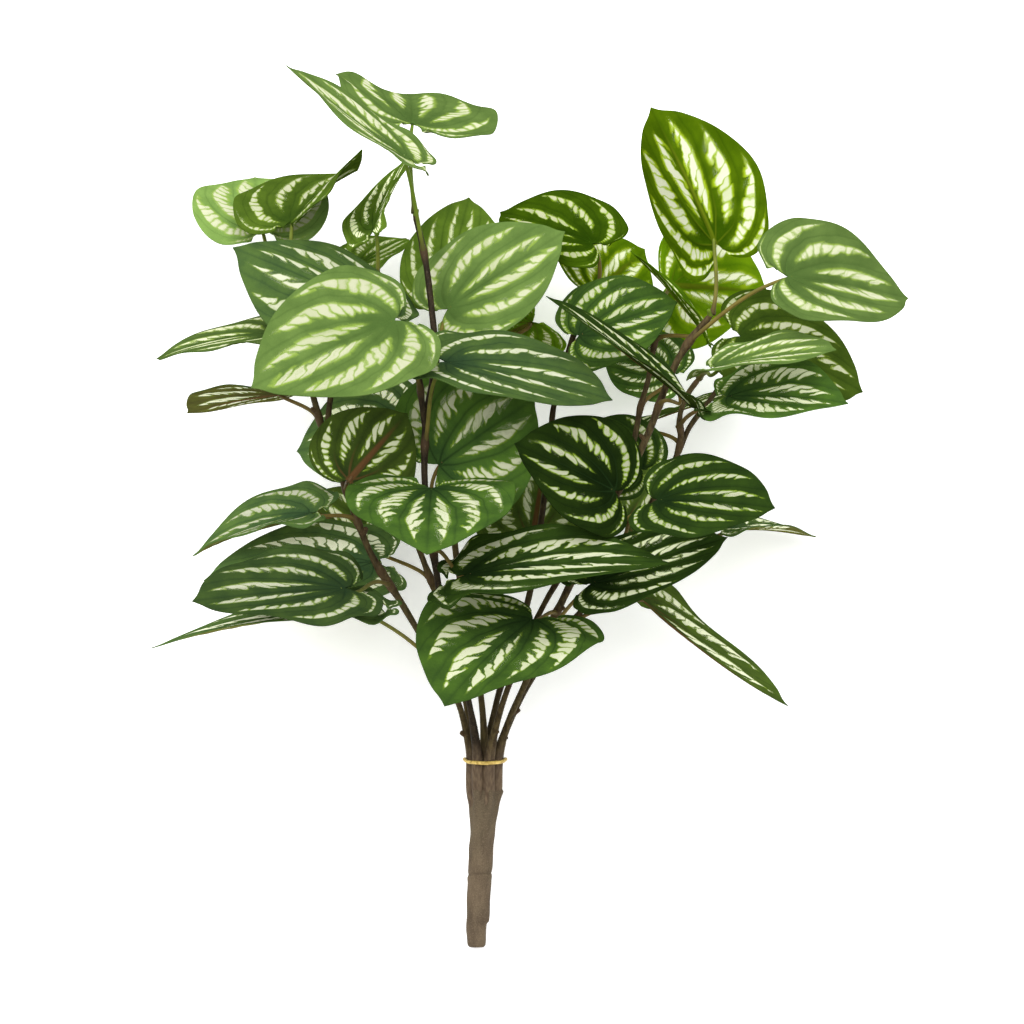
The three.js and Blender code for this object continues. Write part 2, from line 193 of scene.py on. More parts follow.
# Leaf tones. The green, grey and light tones are lifted a little towards white: a painted sheen in
# place of gloss on the matt skin.
leafTones = {
    "green": {
        "deep": (25, 41, 18), "green": (50, 72, 24), "halo": (122, 148, 42), "rib": (90, 62, 38),
        "underDeep": (32, 43, 19), "under": (58, 74, 25), "cream": (206, 210, 178),
        "roughness": 0.36, "haloWide": 0.85, "haloShare": 0.74, "gaps": 1.0, "soft": 0.1,
    },
    # Bluish grey-green, partly painted sheen: a whitish veil of reflected light laid into the
    # colour.
    "grey": {
        "deep": (30, 46, 28), "green": (56, 74, 34), "halo": (120, 142, 56), "rib": (92, 68, 44),
        "underDeep": (48, 48, 26), "under": (78, 80, 36), "cream": (208, 211, 184),
        "roughness": 0.42, "haloWide": 1.1, "haloShare": 0.6, "gaps": 0.8, "soft": 0.35,
    },
    "fresh": {
        "deep": (36, 60, 6), "green": (66, 93, 11), "halo": (132, 158, 40), "rib": (88, 84, 32),
        "underDeep": (38, 60, 6), "under": (68, 92, 11), "cream": (214, 218, 176),
        "roughness": 0.38, "haloWide": 1.1, "haloShare": 0.65, "gaps": 0.8, "soft": 0.3,
    },
    "olive": {
        "deep": (44, 64, 19), "green": (76, 98, 30), "halo": (134, 156, 56), "rib": (92, 88, 40),
        "underDeep": (44, 62, 19), "under": (76, 96, 30), "cream": (214, 218, 182),
        "roughness": 0.4, "haloWide": 1.1, "haloShare": 0.6, "gaps": 0.8, "soft": 0.4,
    },
    # Pale grey-green, partly painted sheen.
    "light": {
        "deep": (66, 89, 41), "green": (95, 119, 59), "halo": (138, 162, 66),
        "rib": (112, 108, 56), "underDeep": (70, 89, 38), "under": (99, 118, 56),
        "cream": (216, 219, 184), "roughness": 0.45, "haloWide": 2.0, "haloShare": 0.52,
        "gaps": 0.55, "soft": 1.0,
    },
    # Leaves lit from behind: partly their own yellow-green, partly painted light shining through
    # them.
    "yellow": {
        "deep": (48, 76, 4), "green": (84, 112, 9), "halo": (148, 172, 30), "rib": (84, 98, 16),
        "underDeep": (46, 74, 4), "under": (84, 112, 9), "cream": (236, 239, 210),
        "roughness": 0.42, "haloWide": 2.1, "haloShare": 0.8, "gaps": 0.45, "soft": 0.9,
    },
}


def leafMaterial(name, tone, under):
    look = {**leafPattern, **leafTones[tone]}
    material, paint, shader = startMaterial(name, look["roughness"], look["specular"])
    fanSigned, reach, crossing = split(attribute(paint, "leafVein"))
    across, along, spacing = split(attribute(paint, "leafFlat"))
    seed, shade, pitch = split(attribute(paint, "leafSelf"))
    creamToneAndLight, broad, soft = split(attribute(paint, "leafCream"))
    side = fanSigned.over(0)
    spot = joined(across, along, seed * 37)
    wander = (noise(spot, look["wanderScale"], 1.0) - 0.5) * 2
    fan = abs(fanSigned)
    fan = fan + wander * look["wander"] * fan.least(1)
    band = fan.floor()
    place = fan.fraction()
    row = band + side * 7
    pick = chances("2D", joined(row, seed * 91, 0))
    pickWide = chances("2D", joined(row + 31, seed * 57, 0))
    outer = (band / 2).rise(0.2, 1.0)

    # Cross veins part a band into strokes; they slant forward on the inner bands.
    cells = band * look["cellsMore"] + look["cellsInner"]
    steps = crossing * cells - place * outer.mixed(*look["slant"])
    steps = steps + pick * 5 + (noise(spot, look["stepScale"], 1.0) - 0.5) * 1.1
    segment = steps.floor()
    share = steps.fraction()
    draws = chances("3D", joined(segment, row, seed * 13), output=1)
    chance, fatness, reachOut = split(draws)
    cell = pitch / cells

    # The cream swells and dies out along the band; distances to its edge are in millimetres.
    least, more = look["start"]
    starts = least + pick * more
    swell = (reach - starts).rise(0.0, 0.3) * (1 - (reach + pickWide * 0.08).rise(0.76, 1.03))
    widest, less = look["halfWide"]
    halfWide = (widest - pickWide * less) * swell * broad + 0.01
    centre = 0.52 - chance * 0.04
    least, more = look["innerReach"]
    innerEdge = centre - halfWide * (least + fatness * more)
    least, more = look["outerReach"]
    outerEdge = centre + halfWide * (least + reachOut * more)
    fromSides = (place - innerEdge).least(outerEdge - place) * spacing
    acrossBand = ((place - innerEdge) / (halfWide * 2).most(0.02)).least(1)
    taper = (1 - acrossBand).most(0)
    gap = (cell * outer.mixed(*look["innerGap"]) * taper * taper
           + outer.mixed(*look["outerGap"]) * (0.3 + chance))
    fromCross = share.least(1 - share) * cell
    fromGap = fromCross - gap * look["gaps"]
    fromEnds = (reach - starts).least(0.955 - reach) * 30
    grain = (noise(spot, look["grainScale"], 2.0) - 0.5) * 1.1
    corner = look["corner"]
    shortSide = (corner - fromSides.least(fromEnds)).most(0)
    shortGap = (corner - fromGap).most(0)
    inside = corner - (shortSide * shortSide + shortGap * shortGap).root() + grain * 0.5 + 0.04
    gone = (swell - 0.1 - chance * 0.14).rise(-0.04, 0.04)
    creamMask = inside.rise(soft * -0.35 - 0.02, soft * 0.55 + 0.36) * gone
    haloMask = (inside + grain * 0.4).rise(-look["haloWide"], 0.25)
    haloMask = haloMask * gone.most(swell.rise(0.0, 0.25) * 0.6)

    # Green of the blade: mottled, deeper along the veins, and darker round the joint and in the
    # vein creases near it: painted shade of the folds there.
    fromVein = place.least(1 - place) * spacing
    mottle = noise(spot, look["mottleScale"], 3.0)
    fine = noise(spot, look["fineScale"], 3.0)
    depth = mottle.rise(0.3, 0.72) * 0.45 + fine * 0.25 + reach.rise(0.05, 0.7) * 0.4 - 0.08
    depth = depth * fromVein.rise(-0.2, 1.8).mixed(0.65, 1.0)
    sides = ("underDeep", "under") if under else ("deep", "green")
    deep, green = [linear(*look[key]) for key in sides]
    colour = depth.blended(deep, green)
    skin = noise(spot, look["skinScale"], 3.0)
    # Painted shade: the blade darkens towards the joint, where it folds.
    colour = ((1 - reach.rise(0.04, 0.42)) * 0.4).blended(colour, deep)
    # The green is scaled by the leaf's own tone and by painted light and shade for how brightly it
    # is lit.
    colour = colour.scaled(shade * (skin * 0.3 + 0.85))
    haloShade = linear(*look["halo"])
    colour = (haloMask * (look["haloShare"] + chance * 0.2)).blended(colour, haloShade)
    tint = chance.rise(0.0, 0.25) * inside.rise(-0.1, 0.6)
    cream = (0.72 + tint * 0.28).blended(haloShade, linear(*look["cream"]))
    # The cream is dimmed or lifted with the leaf: painted light and shade as well as its own tone.
    cream = cream.scaled(creamToneAndLight)
    colour = creamMask.blended(colour, cream)
    if under:
        near = 1 - reach.rise(0.02, 0.6)
        line = (1 - fromVein.rise(0.1, 0.6)) * near * 0.6
        midrib = (1 - (abs(across) + reach * 0.9).rise(0.75, 1.75)) * (1 - reach.rise(0.5, 0.95))
        colour = line.most(midrib * 0.9).blended(colour, linear(*look["rib"]))
    else:
        # The veins are a little darker, with painted shade in their creases, strongest near the
        # joint.
        line = (1 - fromVein.rise(0.1, 0.7)) * (1 - reach.rise(0.5, 0.95))
        colour = (line * (0.3 + (1 - reach.rise(0.0, 0.4)) * 0.3)).blended(colour, deep)
    roughness = look["roughness"] + (mottle - 0.5) * 0.14 + creamMask * 0.06

    # Veins, cross veins and the fine skin raise or sink the surface.
    ridge = (1 - fromVein.rise(0.0, 0.8)) * 0.5 + (1 - fromCross.rise(0.0, 0.7)) * 0.2
    height = skin * 0.25 + (ridge if under else 1 - ridge)
    finishMaterial(paint, shader, colour, roughness, height, *look["bump"])
    return material


leafMaterials = {tone: (leafMaterial("leaf upper " + tone, tone, False),
                        leafMaterial("leaf underside " + tone, tone, True))
                 for tone in leafTones}
print("leaf materials", len(leafMaterials) * 2)


petioleLook = {
    "roughness": (0.4, 0.15), "specular": 0.08, "bump": (0.3, 0.0003), "streakScale": 260,
    "tones": {"green": (92, 116, 34), "olive": (110, 96, 46), "brown": (86, 62, 40),
              "foot": (48, 35, 25), "streak": (62, 60, 28)},
}


def petiolePaint(look, hue, place):
    along, tone, _ = split(attribute(place, "rodPlace"))
    streak = noise(place, look["streakScale"], 3.0)
    toned = (tone * 2 - (along - 0.5) * 0.5).rise(0, 1).blended(hue["green"], hue["olive"])
    toned = (tone * 2 - 1 + (along - 0.5) * 0.4).rise(0, 1).blended(toned, hue["brown"])
    foot = (1 - along.rise(0.0, 0.26)) * 0.75
    colour = foot.blended(toned, hue["foot"])
    colour = (streak.rise(0.3, 0.75) * 0.4).blended(colour, hue["streak"])
    return colour, streak, streak


stemLook = {
    "roughness": (0.45, 0.2), "specular": 0.06, "bump": (0.5, 0.0006),
    "streakScale": 800, "patchScale": 48, "speckScale": 1300, "drawnOut": (1.0, 0.2, 1.0),
    "tones": {"blackDark": (26, 21, 14), "blackPale": (54, 45, 31),
              "brownDark": (50, 40, 23), "brownPale": (98, 85, 52),
              "olive": (70, 66, 36), "knot": (80, 62, 42), "speck": (98, 82, 66),
              "footDark": (74, 61, 48), "footPale": (100, 85, 67)},
}


def stemPaint(look, hue, place):
    tone, level, knot = split(attribute(place, "rodPlace"))
    streak = noise(drawn(place, look["drawnOut"]), look["streakScale"], 4.0)
    patch = noise(place, look["patchScale"], 3.0)
    speck = noise(place, look["speckScale"], 2.0)
    dark = tone.blended(hue["blackDark"], hue["brownDark"])
    pale = tone.blended(hue["blackPale"], hue["brownPale"])
    colour = (streak.rise(0.32, 0.7) * 0.6 + patch.rise(0.35, 0.8) * 0.25).blended(dark, pale)
    colour = (patch.rise(0.45, 0.75) * tone * 0.4).blended(colour, hue["olive"])
    colour = (knot.rise(0.1, 1.0) * 0.5).blended(colour, hue["knot"])
    colour = (speck.rise(0.6, 0.72) * 0.4).blended(colour, hue["speck"])
    foot = streak.rise(0.3, 0.75).blended(hue["footDark"], hue["footPale"])
    colour = (1 - level.rise(0.2, 0.24)).blended(colour, foot)
    return colour, streak, streak + patch * 0.6


stubLook = {
    "roughness": (0.62, 0.15), "specular": 0.06, "bump": (0.45, 0.0005),
    "streakScale": 190, "patchScale": 60, "speckScale": 1700, "drawnOut": (1.0, 0.3, 1.0),
    "tones": {"dark": (74, 63, 50), "pale": (95, 82, 65), "patch": (84, 76, 58),
              "speckPale": (112, 97, 80), "speckDark": (56, 46, 37), "groove": (38, 30, 24)},
}


def stubPaint(look, hue, place):
    streak = noise(drawn(place, look["drawnOut"]), look["streakScale"], 4.0)
    speck = noise(place, look["speckScale"], 2.0)
    patch = noise(place, look["patchScale"], 2.0)
    colour = streak.rise(0.3, 0.72).blended(hue["dark"], hue["pale"])
    colour = (patch.rise(0.4, 0.7) * 0.4).blended(colour, hue["patch"])
    colour = (speck.rise(0.5, 0.7) * 0.4).blended(colour, hue["speckPale"])
    colour = ((1 - speck.rise(0.3, 0.42)) * 0.35).blended(colour, hue["speckDark"])
    # Painted shade in the grooves and the crease.
    groove = split(attribute(place, "rodPlace"))[2]
    colour = (groove * 0.8).blended(colour, hue["groove"])
    return colour, speck, streak * 0.5 + speck * 0.6


tieLook = {
    "roughness": (0.36, 0.2), "specular": 0.4, "bump": (0.3, 0.0002), "threadScale": 700,
    "tones": {"dark": (152, 124, 50), "pale": (208, 180, 98)},
}


def tiePaint(look, hue, place):
    thread = noise(place, look["threadScale"], 2.0)
    return thread.rise(0.3, 0.7).blended(hue["dark"], hue["pale"]), thread, thread


def rodMaterial(name, look, painted):
    # The painter gives the colour, what makes it rougher, and the height of the surface.
    smoothest, rougher = look["roughness"]
    material, paint, shader = startMaterial(name, smoothest, look["specular"])
    hue = {key: linear(*colour) for key, colour in look["tones"].items()}
    place = paint.node("TexCoord", None, output=3)
    colour, rough, height = painted(look, hue, place)
    finishMaterial(paint, shader, colour, smoothest + rough * rougher, height, *look["bump"])
    return material


rodFinish = {
    "petiole": rodMaterial("petiole", petioleLook, petiolePaint),
    "stem": rodMaterial("stem bark", stemLook, stemPaint),
    "stub": rodMaterial("stub moulding", stubLook, stubPaint),
    "tie": rodMaterial("gold tie", tieLook, tiePaint),
}
print("rod materials", len(rodFinish))


def only(thing, others=()):
    # The thing and the others are selected, and the thing is the active one.
    bpy.ops.object.select_all(action="DESELECT")
    for each in (thing, *others):
        each.select_set(True)
    bpy.context.view_layer.objects.active = thing


def mode(name):
    bpy.ops.object.mode_set(mode=name)


def chooseAll():
    mode("EDIT")
    bpy.ops.mesh.select_all(action="SELECT")


def soften():
    bpy.ops.object.shade_smooth_by_angle(angle=math.radians(50))


def markEdges(thing, wanted):
    # Goes into edit mode with only the wanted edges selected.
    mode("EDIT")
    bpy.ops.mesh.select_mode(type="EDGE")
    bpy.ops.mesh.select_all(action="DESELECT")
    mode("OBJECT")
    for edge in thing.data.edges:
        edge.select = wanted(*edge.vertices)
    mode("EDIT")


def straightRod(name, sides, steps):
    # A round bar of unit height and radius with a ring of points at every step.
    bpy.ops.mesh.primitive_cylinder_add(vertices=sides, radius=1, depth=1, end_fill_type="NGON")
    bar = bpy.context.object
    bar.name = name
    points = bar.data.vertices
    markEdges(bar, lambda first, second: abs(points[first].co.z - points[second].co.z) > 0.5)
    bpy.ops.mesh.subdivide(number_cuts=steps - 1)
    mode("OBJECT")
    soften()
    return bar


def settle(piece, name, node):
    piece.name = name
    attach(piece, "root")
    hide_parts(node)


def coordinates(mesh):
    found = np.zeros(len(mesh.vertices) * 3)
    mesh.vertices.foreach_get("co", found)
    return found.reshape(-1, 3)


def placed(name, data):
    made = bpy.data.objects.new(name, data)
    bpy.context.scene.collection.objects.link(made)
    return made


def storeVectors(mesh, name, vectors):
    held = mesh.attributes.new(name, "FLOAT_VECTOR", "POINT")
    held.data.foreach_set("vector", np.asarray(vectors, np.float32).ravel())


def dress(piece, points, finish, place=None):
    # Gives a piece its points, in the bush's own millimetres, and its finish.
    piece.data.vertices.foreach_set("co", lay(points).ravel())
    if place is not None:
        storeVectors(piece.data, "rodPlace", place)
    piece.data.materials.append(rodFinish[finish])
    piece.data.update()


def framesAlong(line):
    # Two directions square to the line at each point, carried along without twist.
    forward = unit(np.gradient(line, axis=0))
    start = np.cross(forward[0], (0.2, 0.1, 1.0))
    sides = [start / np.linalg.norm(start)]
    for direction in forward[1:]:
        side = sides[-1] - direction * (sides[-1] @ direction)
        sides.append(side / np.linalg.norm(side))
    sides = np.array(sides)
    return sides, np.cross(forward, sides)


def bendRod(master, name, line, radii, finish, place):
    # Copies the straight rod and lays its rings along the line.
    piece = placed(name, master.data.copy())
    points = coordinates(piece.data)
    steps = len(line) - 1
    ring = np.rint((points[:, 2] + 0.5) * steps).astype(int)
    sides, ups = framesAlong(line)
    moved = (line[ring] + sides[ring] * (points[:, :1] * radii[ring, None])
             + ups[ring] * (points[:, 1:2] * radii[ring, None]))
    dress(piece, moved, finish, place[ring])
    return piece


def spans(line):
    return np.linalg.norm(np.diff(line, axis=0), axis=1)


def evenly(line, count):
    lengths = np.concatenate([[0], np.cumsum(spans(line))])
    wanted = np.linspace(0, lengths[-1], count)
    return np.stack([np.interp(wanted, lengths, part) for part in line.T], 1)


def bow(start, end, leave, arrive, part):
    # The curve from start to end with these directions at its ends.
    return (start + leave * part + (3 * (end - start) - 2 * leave - arrive) * part ** 2
            + (2 * (start - end) + leave + arrive) * part ** 3)


def curve(held, count, fineness, power):
    # Through all the points but the first and last, which only turn its ends. The power says
    # how far the distances between the points count, so that no bend overshoots.
    fine = []
    for number in range(1, len(held) - 2):
        p0, p1, p2, p3 = held[number - 1:number + 3]
        d0, d1, d2 = spans(held[number - 1:number + 3]) ** power
        leave = ((p1 - p0) / d0 - (p2 - p0) / (d0 + d1) + (p2 - p1) / d1) * d1
        arrive = ((p2 - p1) / d1 - (p3 - p1) / (d1 + d2) + (p3 - p2) / d2) * d1
        part = np.linspace(0, 1, fineness, endpoint=number == len(held) - 3)[:, None]
        fine.append(bow(p1, p2, leave, arrive, part))
    return evenly(np.vstack(fine), count)


def curveThrough(points, count=400):
    points = np.array(points, float)
    held = np.vstack([2 * points[0] - points[1], points, 2 * points[-1] - points[-2]])
    return curve(held, count, 60, 0.5)


stems = {
    "radius": 2.1, "tipRadius": 1.6, "forkThinning": 0.3, "sides": 12, "steps": 96,
    "footExtra": 0.85, "footTop": 84,
    "foot": [(52, 0.45), (60, 0.66), (66, 0.86)],  # level, and how far out it has got
    "knotExtra": 0.6, "knotLength": 3.6, "wobble": 0.12, "slim": 0.72,
    "slimLevels": (78, 90), "buildLevels": (100, 165),  # where a stem slims and finds its build
    "levelSpan": 400,  # the finish counts levels in shares of this
    "tipNarrow": (0.85, 0.45),  # the last two rings
    "wobbleLengths": (4.7, 11), "footBlend": 26,
    "footSink": (0.55, 68),  # how thin a stem starts in the stub, and where it is whole
    # how thick each stem is above the stub, and how brown it is (0 is nearly black)
    "build": {
        "stem_left": (0.82, 0.7), "stem_middle": (0.84, 0.0), "stem_heart": (0.82, 0.9),
        "stem_back": (0.78, 0.3), "stem_right": (0.94, 0.75), "stem_inner": (0.74, 0.7),
        "stem_outer": (0.76, 0.55), "stem_shade": (0.76, 0.9), "left_fork": (0.8, 0.5),
        "middle_fork": (0.8, 0.1), "outer_fork": (0.76, 0.55)},
    "lines": {
        "stem_left": [
            (-2, 70.4, 0.6), (-2.4, 84, 0.6), (-4.5, 96, 2), (-8, 109, 5), (-14, 123, 9),
            (-23, 137, 11), (-35, 157, 11), (-47, 176, 9), (-56, 198, 6), (-62, 215, 2),
            (-68, 228, 0), (-73, 245, -3), (-79, 269, -6), (-81, 289, -8)],
        "stem_middle": [
            (0.5, 70.4, 4.5), (0.3, 84, 5), (-1.6, 100, 9), (-6, 121, 15), (-14, 145, 20),
            (-17, 163, 22), (-20, 183, 23), (-23, 206, 24), (-23, 228, 24), (-22, 243, 23),
            (-18, 264, 20), (-20, 284, 16), (-22, 302, 12), (-25, 318, 9), (-28, 330, 7)],
        "stem_heart": [
            (3.4, 70.4, 0), (3.6, 84, 0), (2, 111, -2), (-3, 143, -5), (-8, 167, -6),
            (-10, 181, -6), (-11, 201, -6), (-10, 224, -7), (-8, 246, -8), (-6, 264, -9),
            (-6, 278, -9), (-7, 291, -8)],
        "stem_back": [
            (4.1, 70.4, -5.4), (4.3, 84, -6), (9, 111, -10), (18, 138, -14), (24, 160, -16),
            (29, 192, -18), (33, 224, -18), (34, 240, -18), (38, 256, -19), (43, 274, -21),
            (50, 290, -22), (55, 297, -22)],
        "stem_right": [
            (8.5, 70.4, 1.8), (9.2, 84, 2.1), (14, 101, 4), (24, 124, 9), (34, 147, 13),
            (45, 170, 17), (57, 194, 21), (65, 208, 23), (73, 223, 24), (79, 237, 24),
            (84, 251, 24), (91, 266, 24), (98, 276, 22), (105, 284, 20)],
        "stem_inner": [
            (5.2, 70.4, 5.1), (5.6, 84, 5.7), (10, 105, 11), (19, 130, 15), (31, 156, 8),
            (47, 181, 5), (61, 203, 4), (70, 225, 3), (73, 241, 1), (77, 255, -1), (80, 273, -4),
            (83, 289, -8)],
        "stem_outer": [
            (8, 70.4, -2.8), (8.7, 84, -3.1), (16, 104, -7), (30, 129, -11), (51, 156, -14),
            (71, 185, -14), (84, 210, -12), (92, 225, -10), (91, 235, -8), (94, 247, -4),
            (100, 256, 0)],
        "stem_shade": [
            (-0.4, 70.4, -3.9), (-0.6, 84, -4.3), (-4, 104, -11), (-9, 126, -20), (-18, 156, -26),
            (-28, 183, -29), (-36, 210, -30), (-41, 238, -29), (-44, 260, -27), (-46, 283, -24),
            (-45, 301, -20)],
    },
    "forks": {
        "left_fork": ("stem_left",
                      [(-68, 228, 0), (-66, 247, 0), (-63, 266, 0), (-63, 287, -2)]),
        "middle_fork": ("stem_middle",
                        [(-23, 234, 24), (-25, 250, 26), (-26, 266, 27), (-25, 279, 26)]),
        "outer_fork": ("stem_outer",
                       [(92, 225, -10), (96, 234, -12), (105, 246, -16), (113, 257, -20)]),
    },
}

# Leaves whose margin ruffles more than the rest.
ruffleBy = {
    "low_hanging": 1.7, "left_low": 1.8, "low_long": 1.6, "top_right": 1.8, "left_low_back": 1,
    "right_light": 1.5, "right_dark": 1.6, "left_long": 1.4, "lowest_front": 1.3,
    "upper_folded": 1.6,
}

# Leaves drawn in a little at their sides, clear of the next leaf.
trimBy = {"right_crown": 0.955, "left_behind": 0.97, "centre_long": 0.96}
